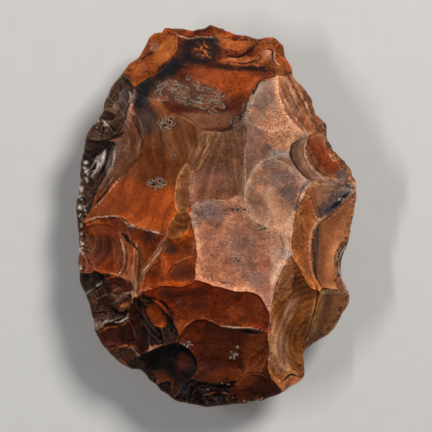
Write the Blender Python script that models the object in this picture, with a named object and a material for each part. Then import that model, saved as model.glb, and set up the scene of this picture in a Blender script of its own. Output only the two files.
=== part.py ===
"""Stone hand axe: an ovate biface of flint, lying on its underside.

The plan outline is drawn once. Each face starts as a smooth rough-out, a thin plate bent through
the heights of its main ridges, and is then knapped: every flake scar, oldest first, replaces the
surface inside its own outline by a shallow bowl that hangs from the heights along that outline.
Younger scars cut older ones, so the ridges between facets come out where two scars meet.

X runs across the blade, Y along it with the broad tip at +Y, Z up. The origin is under the middle
of the axe, on the ground that it lies on.
"""

import math
from collections import namedtuple

import bpy
import numpy as np
from mathutils.geometry import delaunay_2d_cdt

# ---------------------------------------------------------------- driving dimensions (millimetres)
MM = 0.001                    # metres in a millimetre: the design below is in millimetres
LOWER_DEPTH = 19.0            # from the middle of the cutting edge down to the ground
SOLE_LENGTH = 24.0            # flat remnant on the underside, on which the axe rests, along Y
SOLE_BREADTH = 32.0           # and across X
SOLE_CENTRE = (0.5, -3.0)
EDGE_WAVE = 0.9               # how far the cutting edge wanders up and down
EDGE_FALL = 0.62              # slope of both rough-out faces just outside the edge
FACET_SPACING = 2.15          # distance between mesh points inside a scar
EDGE_SPACING = 1.5            # and along the cutting edge and the ridges
FLOOR_FLATNESS = 0.66         # below 1 a scar has a flatter floor and steeper sides
PROBE_SPACING = 1.2           # distance between the heights read along a scar's outline
WELD_REACH = 7.0              # how far in the faces bend to meet at the cutting edge
WEDGE = 0.55                  # least thickness near the cutting edge, per millimetre inside it
SOLE_STEP = 0.35              # how far the rest of the underside stays above the flat sole
OVERHANG = 8.0                # how far the rough-out is shaped beyond the cutting edge
KEEL = (0.36, 1.0)            # share of the way out to the low keel, and its height over the sole
SHOULDER = (0.66, 0.70)       # share of the way out to the shoulder, and its share of the depth
CROWDED = 0.62                # shares of the spacing: a point this near another is left out,
TIED = 1.5                    # the end of a line is tied to a point within this,
ROOM = 0.72                   # and a facet point needs this much room
SHARP_ANGLE = 20.0            # ridges sharper than this, in degrees, are shaded as sharp

FLINT_COLOUR = (0.23, 0.085, 0.032, 1.0)
FLINT_ROUGHNESS = 0.32

# The cutting edge seen from above, clockwise from the upper left shoulder.
PLAN = [
    (-42.6, 26.0), (-40.0, 30.0), (-37.0, 34.0), (-36.0, 38.0), (-34.3, 42.0), (-31.3, 46.0),
    (-28.4, 50.0), (-25.3, 51.8), (-23.0, 56.0), (-20.3, 60.0), (-17.5, 60.3), (-16.7, 61.5),
    (-13.5, 61.6), (-8.0, 60.9), (-3.5, 61.8), (-2.1, 62.8), (0.0, 62.0), (4.5, 60.2),
    (9.6, 59.0), (15.0, 58.2), (19.0, 58.6), (21.8, 56.2), (22.7, 52.0), (24.6, 49.0),
    (26.0, 44.8), (28.8, 42.0), (31.0, 38.6), (32.3, 34.3), (35.8, 30.3), (36.4, 25.5),
    (38.2, 21.7), (43.0, 16.4), (45.3, 12.2), (45.9, 8.0), (45.3, 2.0), (44.2, -4.0),
    (43.0, -9.5), (41.0, -14.5), (41.1, -20.0), (43.2, -25.0), (43.5, -28.0), (41.2, -32.3),
    (38.8, -36.5), (35.5, -39.7), (31.5, -41.8), (28.9, -44.5), (28.8, -49.0), (28.7, -52.3),
    (25.5, -55.3), (21.5, -57.9), (15.0, -60.3), (5.0, -61.6), (-1.5, -62.4), (-9.0, -61.3),
    (-13.4, -60.2), (-17.0, -57.5), (-21.5, -53.8), (-24.0, -50.9), (-28.5, -49.8),
    (-33.0, -46.6), (-36.5, -42.8), (-39.5, -37.8), (-40.2, -34.0), (-42.0, -27.5),
    (-44.3, -22.0), (-44.9, -14.0), (-45.0, -8.0), (-45.7, 0.0), (-45.9, 4.0), (-44.8, 10.0),
    (-44.4, 16.0), (-43.0, 22.0),
]

# Where the main ridges of the upper face meet: X, Y and height above the middle of the edge.
UPPER_SPOTS = [
    (8, -2, 20.6), (10, 15, 20.0), (-8, 2, 18.6), (-8, 16, 17.6), (-5, 28, 16.0), (4, 27, 16.4),
    (10, 36, 14.6), (16, 43, 12.4), (21, 38, 13.0), (26, 29, 12.6), (30, 25, 10.6), (24, 20, 16.0),
    (31, 11, 12.6), (25, 2, 17.0), (24, -11, 17.2), (19, -20, 17.6), (17, -30, 15.4),
    (6, -23, 18.8), (-7, -20, 18.0), (-13, 50, 7.4), (2, 49, 8.6), (19, 48, 7.4), (-26, 42, 5.6),
    (-19, 38, 10.4), (-28, 36, 6.6), (-33, 25, 6.4), (-23, 26, 11.4), (-22, 8, 13.4),
    (-28, -3, 11.4), (-16, -6, 15.6), (-25, -24, 9.6), (-31, -18, 7.8), (-28, -32, 6.8),
    (-25, -44, 4.6), (-13, -41, 8.8), (-10, -36, 11.6), (0, -36, 14.0), (16, -37, 13.6),
    (18, -52, 5.6), (-9, -53, 4.4), (6, -54, 4.6), (34, -24, 8.2), (34, -1, 9.2), (31, -37, 5.6),
    (29, -22, 11.0),
]

# A scar is the hollow that one flake left: an outline, the depth of the hollow in its middle, how
# much deeper it is towards the point where the flake was struck off, and that strike point.
Scar = namedtuple("Scar", "name depth lean strike outline")


def leaf(start, end, breadth, count=12):
    """Outline of a narrow scar from start to end, round at both and widest past the middle."""
    start = np.array(start, float)
    along = np.array(end, float) - start
    across = np.array((-along[1], along[0])) / np.hypot(*along)
    points = []
    for step in range(count):
        turn = 2 * math.pi * step / count
        travel = 0.5 - 0.5 * math.cos(turn)
        side = 0.5 * breadth * math.sin(turn) * (0.75 + 0.5 * travel)
        points.append(tuple(start + along * travel + across * side))
    return points


# The scars of the upper face, oldest first.
UPPER_SCARS = [
    Scar("left fan", 3.0, 0.3, (-47, 16), [
        (-50, 21), (-40, 25), (-31, 29), (-26, 37), (-19, 43), (-8, 36), (-3.5, 29), (-5.5, 22),
        (-8, 16), (-8.8, 8), (-7.5, 0), (-13, -9), (-28, -9), (-40, -8), (-50, -6), (-53, 6)]),
    Scar("striped flat", 0.7, 0.0, (4, 34), [
        (-8.2, 16), (-6, 22), (-4.5, 29), (4, 31), (9.3, 29), (9.3, 21), (8.6, 14), (8.2, 8),
        (4, 5.4), (-2, 5.6), (-6, 4.6), (-8.6, 2.6), (-8.9, 9)]),
    Scar("lower flat", 0.6, 0.0, (2, -30), [
        (-8.3, 1), (-3, 4.5), (5, 4.8), (12, 0.5), (19, -1), (24, -6), (24, -12), (20, -19),
        (18, -28), (10, -26), (-2, -24), (-9, -21), (-7, -12), (-7.4, -5)]),
    Scar("round flat", 0.5, 0.3, (26, 6), [
        (9.3, 3), (9.6, 9), (12, 14.5), (16, 18), (21, 17.4), (26, 13.6), (29, 9), (26, 2.6),
        (24.4, -3), (19, -3.6), (13, -1.4), (10.4, 0.4)]),
    Scar("upper flat", 0.4, 0.2, (17, 48), [
        (9.5, 31), (10, 36), (12.5, 41), (15, 45.5), (20, 46.5), (22, 41), (22.5, 35), (24, 31),
        (19, 27.5), (13, 28.5)]),
    Scar("right fan", 2.8, 0.2, (34, 30), [
        (20, 48), (20.2, 42), (21, 38), (23, 33), (26, 29), (30, 25.5), (34, 20), (42, 21),
        (44, 28), (38, 38), (32, 47), (27, 54), (22, 54)]),
    Scar("right fan edge", 1.6, 0.2, (34, 40), [
        (22.5, 49), (24.5, 43.5), (27.5, 37.5), (31, 31.5), (35, 25.5), (41, 25), (41, 33),
        (35, 42), (30, 48), (25, 53)]),
    Scar("fossil basin", 3.5, 0.2, (-3, 64), [
        (-19, 37.6), (-14, 33.8), (-8, 30), (-5.5, 27.9), (0, 27), (4, 27.6), (8, 31), (10, 36),
        (12, 40), (14.5, 43.3), (19, 45), (24, 50), (18, 57), (8, 60), (-4, 61), (-15, 60),
        (-23, 52), (-27, 43), (-24, 39)]),
    Scar("tip", 1.7, 0.2, (3, 64), [
        (-14, 50.5), (-8, 49.6), (-2, 49.3), (5, 48.4), (12, 47.8), (19, 47), (24, 50), (27, 58),
        (18, 63), (5, 66), (-6, 67), (-14, 66), (-16, 57)]),
    Scar("tip right", 1.6, 0.2, (20, 61), [
        (12.5, 62), (11.6, 56), (13, 52), (15.5, 49), (18, 46.6), (21, 45.4), (25, 47), (27, 54),
        (23, 62), (17, 64)]),
    Scar("tip crest", 1.2, 0.0, (2, 65), [
        (-13, 59.4), (-9, 58.2), (-5, 58.9), (-1, 58.6), (1.5, 55.5), (6, 53.6), (10.5, 54),
        (13.5, 57), (14.5, 62), (4, 66), (-8, 66), (-13, 65)]),
    Scar("tip left", 2.2, 0.4, (-22, 58), [
        (-12.4, 63), (-12.8, 59), (-13, 55), (-14.4, 52), (-16, 49.5), (-19, 46.6), (-22, 45.3),
        (-24, 43.8), (-27, 42.2), (-32, 42), (-36, 46), (-30, 55), (-23, 62), (-17, 65)]),
    Scar("upper left", 2.1, 0.2, (-38, 35), [
        (-26.4, 42), (-27, 39.5), (-28.2, 35.5), (-29.4, 31), (-31, 27.6), (-34, 24.8), (-39, 23.6),
        (-46, 25), (-47, 33), (-41, 41), (-35, 46), (-29, 45)]),
    Scar("left shoulder", 1.0, 0.3, (-44, 24), [
        (-30, 27.4), (-29, 31.5), (-27.4, 34.4), (-25, 31.4), (-23.6, 27), (-23.8, 22),
        (-25.4, 18.4), (-28.4, 14.6), (-32.4, 11.4), (-37, 9), (-40, 14), (-38, 22), (-33, 25)]),
    Scar("left margin", 2.6, 0.3, (-46, 12), [
        (-49, 26), (-41, 24.8), (-36.5, 24.6), (-33.4, 24), (-32.6, 22.4), (-33.2, 19.6),
        (-34.2, 16.6), (-36.4, 12.6), (-38.4, 8.6), (-40, 4.6), (-42, 0.4), (-49, -3),
        (-54, 11)]),
    Scar("right shell", 2.9, 0.3, (37, 22), [
        (37, 27), (29, 25.6), (25, 24), (23.6, 20), (24.5, 16.8), (27, 13.6), (31, 11.2),
        (35, 11.4), (39, 14), (42, 21)]),
    Scar("right speckled", 2.0, 0.2, (42, 20), [
        (31.5, 27), (29.3, 24.2), (29.1, 21), (30, 18), (31.8, 15.4), (34.4, 13.6), (38, 12.2),
        (44, 11), (50, 14), (47, 21), (41, 26), (36, 29)]),
    Scar("right band", 2.6, 0.1, (38, 2), [
        (31, 10.8), (28, 6.4), (25.7, 2), (24.7, -4), (24.2, -9), (24.6, -12.6), (27, -17.4),
        (29.6, -22.4), (34.5, -25), (38, -18), (37, -8), (38, 1), (36, 9)]),
    Scar("right wing", 1.7, 0.2, (47, 9), [
        (30.4, 10.9), (36, 11.4), (42, 10.7), (48, 11), (50, 7.6), (45.5, 6.9), (41, 4),
        (37.2, 0.8), (34.3, -1.4), (32, 0.6), (30.8, 4), (29.6, 7.6)]),
    Scar("right face", 2.6, 0.3, (46, -6), [
        (49, 10), (45.4, 7.9), (41, 4.2), (37.5, 1), (34.3, -1.2), (32.2, -4.2), (31.2, -8),
        (31.2, -12), (31.8, -17), (32.8, -21), (34.6, -24), (40, -24.4), (45, -23), (50, -13),
        (52, 0)]),
    Scar("right notch", 1.2, 0.2, (43, -14), leaf((45.5, -14.5), (38.6, -14.0), 12.0)),
    Scar("lower right corner", 1.7, 0.2, (42, -32), [
        (33.8, -23.6), (39, -23.8), (44.6, -24.2), (49, -28), (46, -35), (38, -44), (32, -47),
        (29, -42), (30.6, -36), (32.4, -29)]),
    Scar("tan ripple", 3.4, 0.3, (36, -41), [
        (24, -13), (27, -17), (30.3, -22.6), (33.9, -25), (33.2, -28.5), (31.7, -33),
        (30.5, -38), (28.6, -43), (29.5, -48), (33, -56), (25, -61), (19.4, -56), (17.2, -51),
        (16.4, -44), (16.8, -36), (17.1, -31), (18.5, -25.5), (20, -19.5), (22, -15.4)]),
    Scar("tan leaf", 0.3, 0.0, (24, -12), leaf((24.0, -13.4), (21.5, -27.5), 4.4)),
    Scar("lower right shell", 1.0, 0.2, (25, -57), leaf((26.0, -59.0), (23.2, -50.6), 6.6)),
    Scar("lower band", 2.7, 0.1, (-4, -44), [
        (-25, -24.8), (-21.5, -23.8), (-16, -22.3), (-10.5, -22.3), (-7, -20.4), (-3, -21.2),
        (0, -22.3), (6, -23.6), (11, -24.2), (14.5, -26.4), (17, -31), (17.6, -38), (9, -42),
        (-3, -42), (-14, -42), (-21, -36), (-26, -29)]),
    Scar("fold a", 1.3, 0.0, (-26, -25), leaf((-25.2, -25.0), (-12.6, -42.0), 7.0)),
    Scar("fold b", 1.4, 0.0, (-27, -26), leaf((-26.4, -26.2), (-17.6, -43.4), 6.0)),
    Scar("fold c", 1.4, 0.0, (-28, -29), leaf((-27.6, -28.0), (-23.6, -45.0), 6.4)),
    Scar("almond", 0.5, 0.0, (-24, -27), [
        (-22.6, -30.4), (-21.6, -28.8), (-19.8, -28.4), (-17.8, -31), (-16.2, -34),
        (-16.2, -35.7), (-19.4, -35.6), (-21.4, -33.2)]),
    Scar("lower basin", 3.2, 0.2, (1, -60), [
        (-10.4, -36.4), (-8, -34.3), (-4, -33.2), (-1, -34), (1.4, -35.5), (6, -36), (11, -36.2),
        (16, -37.1), (17.4, -42), (17.2, -50), (19, -57), (12, -61), (-2, -62), (-9, -58),
        (-12.4, -47), (-13, -41)]),
    Scar("lower fold", 1.2, 0.0, (13, -53), leaf((16.4, -42.6), (10.4, -52.4), 4.6)),
    Scar("dark scar", 2.7, 0.2, (-18, -58), [
        (-27, -46.5), (-23.6, -44.6), (-19, -42.6), (-13.4, -41.2), (-9.6, -42.2), (-7, -45.6),
        (-5.9, -49), (-7.8, -52.4), (-10, -57), (-12.6, -64), (-20, -62), (-28, -54), (-30, -50)]),
    Scar("butt left", 1.6, 0.1, (-4, -65), [
        (-13, -60), (-11, -55.4), (-8.2, -52.8), (-3, -54.2), (3, -54.5), (7.4, -53.6), (9, -58),
        (7, -67), (-3, -68), (-13, -66)]),
    Scar("butt right", 1.8, 0.1, (14, -63), [
        (5.6, -54.8), (10, -51.3), (14, -50.7), (17.6, -52.4), (20, -55), (24, -61), (16, -66),
        (8, -66), (4.6, -59)]),
    Scar("left basin outer", 2.0, 0.2, (-46, -9), [
        (-50, -1), (-44, -2.5), (-40, -0.8), (-31, -0.3), (-28, -2), (-26.2, -4), (-25.6, -10),
        (-27, -16), (-30, -20.5), (-37, -19), (-43, -18.6), (-50, -21), (-54, -10)]),
    Scar("left basin", 2.2, 0.3, (-46, -8), [
        (-48, -3), (-43, -3.6), (-37, -2.2), (-32.6, -4), (-30.2, -9.5), (-30.2, -15), (-31.6, -18.6),
        (-36, -17.8), (-41, -17), (-47, -19), (-52, -11)]),
    Scar("triangle", 1.3, 0.0, (-30, -3), [
        (-28.6, -3.4), (-26.5, -3.2), (-22, -4.2), (-19, -5.6), (-15.6, -6), (-17, -9.2),
        (-18.8, -12.4), (-21, -15.6), (-24, -18.5), (-26, -13), (-27.6, -8)]),
    Scar("column", 1.0, 0.0, (-25, -26), leaf((-25.2, -26.4), (-25.0, -9.0), 2.8)),
    Scar("amber", 2.2, 0.2, (-12, -24), [
        (-15.8, -5.8), (-12.5, -7.6), (-9.6, -4), (-8.2, 0.5), (-7, -5), (-6, -12), (-6.4, -17),
        (-7, -20.2), (-10.5, -22.2), (-16, -22.2), (-21.6, -23.8), (-24, -24), (-23, -19),
        (-20.4, -15.4), (-18.2, -11.6), (-17, -9)]),
    Scar("shell", 1.0, 0.2, (-10, 2), [
        (-9.4, 1.8), (-8, -1.4), (-9.6, -5), (-12.5, -7.4), (-15.6, -6.2), (-14.8, -2.4),
        (-12.4, 1)]),
    Scar("lens", 1.2, 0.2, (-9, 18), [
        (-9, 17), (-7.9, 12), (-8.2, 6), (-9.4, 1.4), (-11.6, 1), (-13.3, 5), (-13, 10.4),
        (-11, 14.8)]),
    Scar("lower left", 2.0, 0.2, (-44, -27), [
        (-49, -22), (-43, -18.7), (-37, -18.4), (-31.6, -19.6), (-27.6, -24.4), (-26.9, -27),
        (-28.3, -30), (-30, -33), (-34, -34.4), (-40, -35.6), (-47, -36), (-51, -28)]),
    Scar("lower left wedge", 1.2, 0.1, (-43, -20), [
        (-47, -19), (-42, -17.6), (-38.6, -17.6), (-36.2, -19.6), (-36.6, -21), (-38.4, -22.4),
        (-40.6, -24.2), (-43.2, -26.4), (-48, -28)]),
    Scar("lower left slope", 0.8, 0.0, (-33, -18), [
        (-36, -19.4), (-31.6, -19.2), (-29.4, -19.8), (-27, -22.6), (-27.2, -24.4),
        (-30.6, -25), (-33.2, -24), (-34.6, -21.6)]),
    Scar("lower left step", 1.6, 0.1, (-34, -30), [
        (-37.4, -30.8), (-33, -30.4), (-30, -31), (-28.2, -30), (-28.2, -32.4), (-30, -34),
        (-34, -35), (-37.6, -36), (-40.4, -34.6), (-40, -32)]),
    Scar("dark red", 1.8, 0.1, (-41, -40), [
        (-43, -35.8), (-38, -35.6), (-34, -34.3), (-30, -33.2), (-27.4, -36), (-26.4, -41.5),
        (-30, -43.2), (-36, -45), (-42, -46), (-46, -40)]),
    Scar("lower left rim", 1.4, 0.2, (-32, -48), [
        (-36, -44), (-30, -42.8), (-26.6, -43.8), (-25.4, -47.4), (-27, -52), (-34, -54),
        (-40, -48)]),
]


# ---------------------------------------------------------------- plane curves
def smooth_loop(points, spacing):
    """Closed centripetal Catmull-Rom curve through the points, as points about spacing apart."""
    points = np.array(points, float)
    dense = []
    for here in range(len(points)):
        a, b, c, d = (points[(here + shift) % len(points)] for shift in (-1, 0, 1, 2))
        knot_b = math.sqrt(np.hypot(*(b - a)))
        knot_c = knot_b + math.sqrt(np.hypot(*(c - b)))
        knot_d = knot_c + math.sqrt(np.hypot(*(d - c)))
        for t in np.linspace(knot_b, knot_c, 12, endpoint=False):
            ab = (a * (knot_b - t) + b * t) / knot_b
            bc = (b * (knot_c - t) + c * (t - knot_b)) / (knot_c - knot_b)
            cd = (c * (knot_d - t) + d * (t - knot_c)) / (knot_d - knot_c)
            abc = (ab * (knot_c - t) + bc * t) / knot_c
            bcd = (bc * (knot_d - t) + cd * (t - knot_b)) / (knot_d - knot_b)
            dense.append((abc * (knot_c - t) + bcd * (t - knot_b)) / (knot_c - knot_b))
    dense = np.array(dense + dense[:1])
    steps = np.hypot(*np.diff(dense, axis=0).T)
    travel = np.concatenate(([0.0], np.cumsum(steps)))
    count = max(8, round(travel[-1] / spacing))
    stations = np.linspace(0.0, travel[-1], count, endpoint=False)
    return np.column_stack([np.interp(stations, travel, dense[:, axis]) for axis in (0, 1)])


def inside(points, loop):
    """Which points lie inside a closed loop."""
    result = np.zeros(len(points), bool)
    low, high = loop.min(axis=0), loop.max(axis=0)
    near = np.flatnonzero(np.all((points > low) & (points < high), axis=1))
    x, y = points[near].T
    crossings = np.zeros(len(near), int)
    for (x0, y0), (x1, y1) in zip(loop, np.roll(loop, -1, axis=0)):
        if y0 == y1:
            continue
        spans = (y0 > y) != (y1 > y)
        crossings += spans & (x < x0 + (y - y0) * (x1 - x0) / (y1 - y0))
    result[near] = crossings % 2 == 1
    return result


def distance_to_loop(points, loop):
    """Distance from each point to the nearest side of a closed loop."""
    nearest = np.full(len(points), np.inf)
    for start, end in zip(loop, np.roll(loop, -1, axis=0)):
        along = end - start
        travel = np.clip((points - start) @ along / (along @ along), 0.0, 1.0)
        offset = points - start - travel[:, None] * along
        nearest = np.minimum(nearest, np.hypot(*offset.T))
    return nearest


# ---------------------------------------------------------------- surfaces over the plan
def thin_plate(spots):
    """The smooth height over the plan that bends least while it passes through the spots."""
    spots = np.array(spots, float)
    places, heights = spots[:, :2], spots[:, 2]

    def bend(points):
        squared = ((points[:, None, :] - places[None, :, :]) ** 2).sum(axis=2)
        return 0.5 * squared * np.log(squared + 1e-12)

    count = len(spots)
    plane = np.column_stack([np.ones(count), places])
    system = np.zeros((count + 3, count + 3))
    system[:count, :count] = bend(places)
    system[:count, count:] = plane
    system[count:, :count] = plane.T
    weights = np.linalg.solve(system, np.concatenate([heights, np.zeros(3)]))

    def height(points):
        flat = np.column_stack([np.ones(len(points)), points])
        return bend(points) @ weights[:count] + flat @ weights[count:]

    return height


def mean_value_weights(points, loop):
    """Mean value coordinates: how much each corner of the loop counts at each point."""
    spokes = loop[None, :, :] - points[:, None, :]
    reach = np.hypot(spokes[..., 0], spokes[..., 1])
    following = np.roll(spokes, -1, axis=1)
    cross = spokes[..., 0] * following[..., 1] - spokes[..., 1] * following[..., 0]
    dot = (spokes * following).sum(axis=2)
    half_tangent = cross / (reach * np.roll(reach, -1, axis=1) + dot + 1e-9)
    weights = (half_tangent + np.roll(half_tangent, 1, axis=1)) / reach
    return weights / weights.sum(axis=1, keepdims=True)


def hollow(points, loop):
    """Shape of a hollow with that outline: 0 on the outline and about 1 in its middle."""
    middle = loop.mean(axis=0)
    loop_square = ((loop - middle) ** 2).sum(axis=1)
    square = ((points - middle) ** 2).sum(axis=1)
    weights = mean_value_weights(points, loop)
    deepest = mean_value_weights(middle[None, :], loop) @ loop_square
    return weights, np.clip((weights @ loop_square - square) / deepest, 0.0, None)


def knap(points, rough_out, scars):
    """Heights of the points after every scar is struck, oldest first."""
    loops = [smooth_loop(scar.outline, PROBE_SPACING) for scar in scars]
    starts = np.cumsum([len(points)] + [len(loop) for loop in loops])
    everything = np.vstack([points] + loops)
    height = rough_out(everything)
    for scar, loop, start in zip(scars, loops, starts):
        within = np.flatnonzero(inside(everything, loop))
        within = within[distance_to_loop(everything[within], loop) > 0.02]
        if len(within) == 0:
            continue
        places = everything[within]
        weights, bowl = hollow(places, loop)
        middle = loop.mean(axis=0)
        towards = np.array(scar.strike, float) - middle
        shift = np.clip((places - middle) @ towards / (towards @ towards), -1.0, 1.0)
        loop_height = height[start:start + len(loop)]
        dig = scar.depth * bowl ** FLOOR_FLATNESS * (1 + scar.lean * shift)
        height[within] = weights @ loop_height - dig
    return height[:len(points)]


def ease_onto(points, loop, lift, reach):
    """Spread the lift wanted along a loop over the points near it, fading out at reach."""
    spokes = points[:, None, :] - loop[None, :, :]
    squared = (spokes ** 2).sum(axis=2) + 1e-9
    share = 1.0 / squared ** 2
    fade = np.clip(1.0 - np.sqrt(squared.min(axis=1)) / reach, 0.0, 1.0)
    fade = fade * fade * (3.0 - 2.0 * fade)
    return fade * (share @ lift) / share.sum(axis=1)


# ---------------------------------------------------------------- the two faces
def edge_wave(points):
    """Rough height of the cutting edge, which wanders a little as it goes round."""
    turn = np.arctan2(points[:, 1], points[:, 0])
    return EDGE_WAVE * (np.sin(3 * turn + 0.6) + 0.6 * np.sin(5 * turn + 2.1))


def edge_spots(rim, side):
    """Spots along the cutting edge, and outside it where the rough-out runs on past the edge."""
    spots = []
    for place in rim[::6]:
        height = float(edge_wave(place[None, :])[0])
        beyond = place * (1 + OVERHANG / np.hypot(*place))
        spots.append((*place, height))
        spots.append((*beyond, height - side * EDGE_FALL * OVERHANG))
    return spots


def rim_towards(rim, direction):
    """The point of the cutting edge that lies in a direction from the middle."""
    return rim[np.argmax(rim @ direction / np.hypot(*rim.T))]


def lower_spots(rim):
    """Spots of the underside: a shallow keel round the sole, lower than the edge all round."""
    spots = [(*SOLE_CENTRE, -LOWER_DEPTH - 0.3)]
    turns = 14
    for step in range(turns):
        turn = 2 * math.pi * step / turns
        place = rim_towards(rim, np.array((math.cos(turn), math.sin(turn))))
        uneven = 0.8 * math.sin(3.0 * step) + 0.5 * math.sin(7.0 * step + 1.0)
        spots.append((*(KEEL[0] * place), KEEL[1] - LOWER_DEPTH + 0.3 * uneven))
        spots.append((*(SHOULDER[0] * place), -SHOULDER[1] * LOWER_DEPTH + uneven))
    return spots


def lower_scars(rim):
    """Scars of the underside: rings of flakes struck inwards from the cutting edge."""
    rings = [
        # flakes, reach as a share of the way in, breadth, depth, first turn
        (9, 0.62, 30.0, 2.1, 0.3),
        (11, 0.44, 21.0, 1.6, 0.9),
        (17, 0.26, 13.0, 1.1, 0.1),
    ]
    scars = []
    for ring, (count, reach, breadth, depth, first) in enumerate(rings):
        for step in range(count):
            order = (step * 4) % count if count % 4 else step
            turn = first + 2 * math.pi * order / count
            wobble = math.sin(5.3 * order + 1.7 * ring)
            direction = np.array((math.cos(turn), math.sin(turn)))
            place = rim_towards(rim, direction)
            skew = np.array((-direction[1], direction[0])) * wobble * 0.12 * np.hypot(*place)
            end = place * (1 - reach * (1 + 0.15 * wobble)) + skew
            breadth_here = breadth * (1 + 0.18 * math.cos(3.1 * order + ring))
            outline = leaf(place * 1.09, end, breadth_here)
            depth_here = depth * (1 + 0.2 * wobble)
            scars.append(Scar(f"under {ring} {step}", depth_here, 0.3, tuple(place), outline))
    return scars


def sole_outline():
    """The flat remnant on the underside: an oval with seven blunt corners."""
    corners = 7
    points = []
    for step in range(4 * corners):
        turn = 2 * math.pi * step / (4 * corners)
        bulge = 1.0 + 0.05 * math.cos(corners * turn)
        x = SOLE_CENTRE[0] + 0.5 * SOLE_BREADTH * bulge * math.cos(turn)
        y = SOLE_CENTRE[1] + 0.5 * SOLE_LENGTH * bulge * math.sin(turn)
        points.append((x, y))
    return points


def upper_height(points, rim):
    """Heights of the upper face, before the two faces are brought together at the edge."""
    rough_out = thin_plate(UPPER_SPOTS + edge_spots(rim, 1))
    return knap(points, rough_out, UPPER_SCARS)


def lower_height(points, rim):
    """Heights of the underside, with its flat sole, before the faces meet at the edge."""
    rough_out = thin_plate(lower_spots(rim) + edge_spots(rim, -1))
    sole = smooth_loop(sole_outline(), PROBE_SPACING)
    raised_scars = [scar._replace(depth=-scar.depth) for scar in lower_scars(rim)]
    height = knap(np.vstack([points, sole]), rough_out, raised_scars)
    height, sole_height = height[:len(points)], height[len(points):]
    height += ease_onto(points, sole, -LOWER_DEPTH - sole_height, 2 * WELD_REACH)
    flat = inside(points, sole) | (distance_to_loop(points, sole) < 0.05)
    return np.where(flat, -LOWER_DEPTH, np.maximum(height, SOLE_STEP - LOWER_DEPTH))


def both_faces(points, rim):
    """Heights of the upper and lower face, which meet along the edge and never cross inside it."""
    edge_gap = upper_height(rim, rim) - lower_height(rim, rim)
    share = 0.5 * ease_onto(points, rim, edge_gap, WELD_REACH)
    upper = upper_height(points, rim) - share
    lower = lower_height(points, rim) + share
    from_edge = distance_to_loop(points, rim)
    least = np.minimum(WEDGE * from_edge, 0.5 * LOWER_DEPTH)
    softness = 0.25 * least
    thickness = upper - lower
    fuller = 0.5 * (thickness + least + np.hypot(thickness - least, softness))
    middle = 0.5 * (upper + lower)
    fuller = np.where(from_edge < 0.05, 0.0, fuller)
    bulged = thickness < 2 * least
    upper = np.where(bulged, middle + 0.5 * fuller, upper)
    lower = np.where(bulged, middle - 0.5 * fuller, lower)
    return upper, np.maximum(lower, -LOWER_DEPTH)


# ---------------------------------------------------------------- mesh
class Network:
    """Points and the lines between them, which the triangles of a face must follow."""

    def __init__(self, rim):
        self.points = [tuple(point) for point in rim]
        self.rim_size = len(rim)
        self.lines = [(index, (index + 1) % len(rim)) for index in range(len(rim))]
        self.cells = {}
        for index in range(len(rim)):
            self.remember(index)

    def cell(self, point):
        return int(math.floor(point[0] / EDGE_SPACING)), int(math.floor(point[1] / EDGE_SPACING))

    def remember(self, index):
        self.cells.setdefault(self.cell(self.points[index]), []).append(index)

    def nearest(self, point):
        """Index of and distance to the nearest point, looking about two cells away."""
        column, row = self.cell(point)
        best, gap = None, math.inf
        for i in range(column - 2, column + 3):
            for j in range(row - 2, row + 3):
                for index in self.cells.get((i, j), ()):
                    away = math.dist(self.points[index], point)
                    if away < gap:
                        best, gap = index, away
        return best, gap

    def add_loop(self, loop, shown):
        """Add the shown stretches of a loop; their ends are tied to the lines already there."""
        found = [self.nearest(point) for point in loop]
        free = [show and gap > CROWDED * EDGE_SPACING for show, (_, gap) in zip(shown, found)]
        if not any(free):
            return
        count = len(loop)
        begin = free.index(False) if not all(free) else 0
        previous = None
        fresh = []
        for step in range(count + 1):
            here = (begin + step) % count
            if free[here] and step < count:
                index = len(self.points)
                self.points.append(tuple(loop[here]))
                fresh.append(index)
                if previous is not None:
                    self.lines.append((previous, index))
                previous = index
                continue
            if step == count and all(free):
                self.lines.append((previous, fresh[0]))
                break
            tie, gap = found[here]
            anchor = tie if tie is not None and gap < TIED * EDGE_SPACING else None
            if previous is not None and previous in fresh and anchor is not None:
                self.lines.append((previous, anchor))
            previous = anchor
        for index in fresh:
            self.remember(index)

    def fill(self, rim):
        """Add evenly spaced points where the lines leave room."""
        low, high = rim.min(axis=0), rim.max(axis=0)
        row_step = FACET_SPACING * math.sqrt(0.75)
        grid = []
        for row in range(int((high[1] - low[1]) / row_step) + 1):
            shift = 0.5 * FACET_SPACING * (row % 2)
            for column in range(int((high[0] - low[0]) / FACET_SPACING) + 1):
                grid.append((low[0] + shift + column * FACET_SPACING, low[1] + row * row_step))
        grid = np.array(grid)
        for point in grid[inside(grid, rim)]:
            if self.nearest(point)[1] > ROOM * FACET_SPACING:
                self.points.append(tuple(point))

    def triangles(self):
        """Constrained Delaunay triangles within the rim: plan points and corner indices."""
        rim_face = list(range(self.rim_size))
        result = delaunay_2d_cdt(self.points, self.lines, [rim_face], 1, 1e-5)
        places, _, faces, sources = result[:4]
        points = np.array([tuple(place) for place in places])
        place_in_rim = {}
        for index, origin in enumerate(sources):
            for source in origin:
                if source < self.rim_size:
                    place_in_rim[index] = source
        return points, [tuple(face) for face in faces], place_in_rim


def face_network(rim, loops):
    """Network of a face: its rim, what shows of each scar's outline, and even filling."""
    network = Network(rim)
    for position in range(len(loops) - 1, -1, -1):
        loop = loops[position]
        shown = inside(loop, rim)
        for younger in loops[position + 1:]:
            shown &= ~inside(loop, younger)
        network.add_loop(loop, shown)
    network.fill(rim)
    return network


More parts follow.
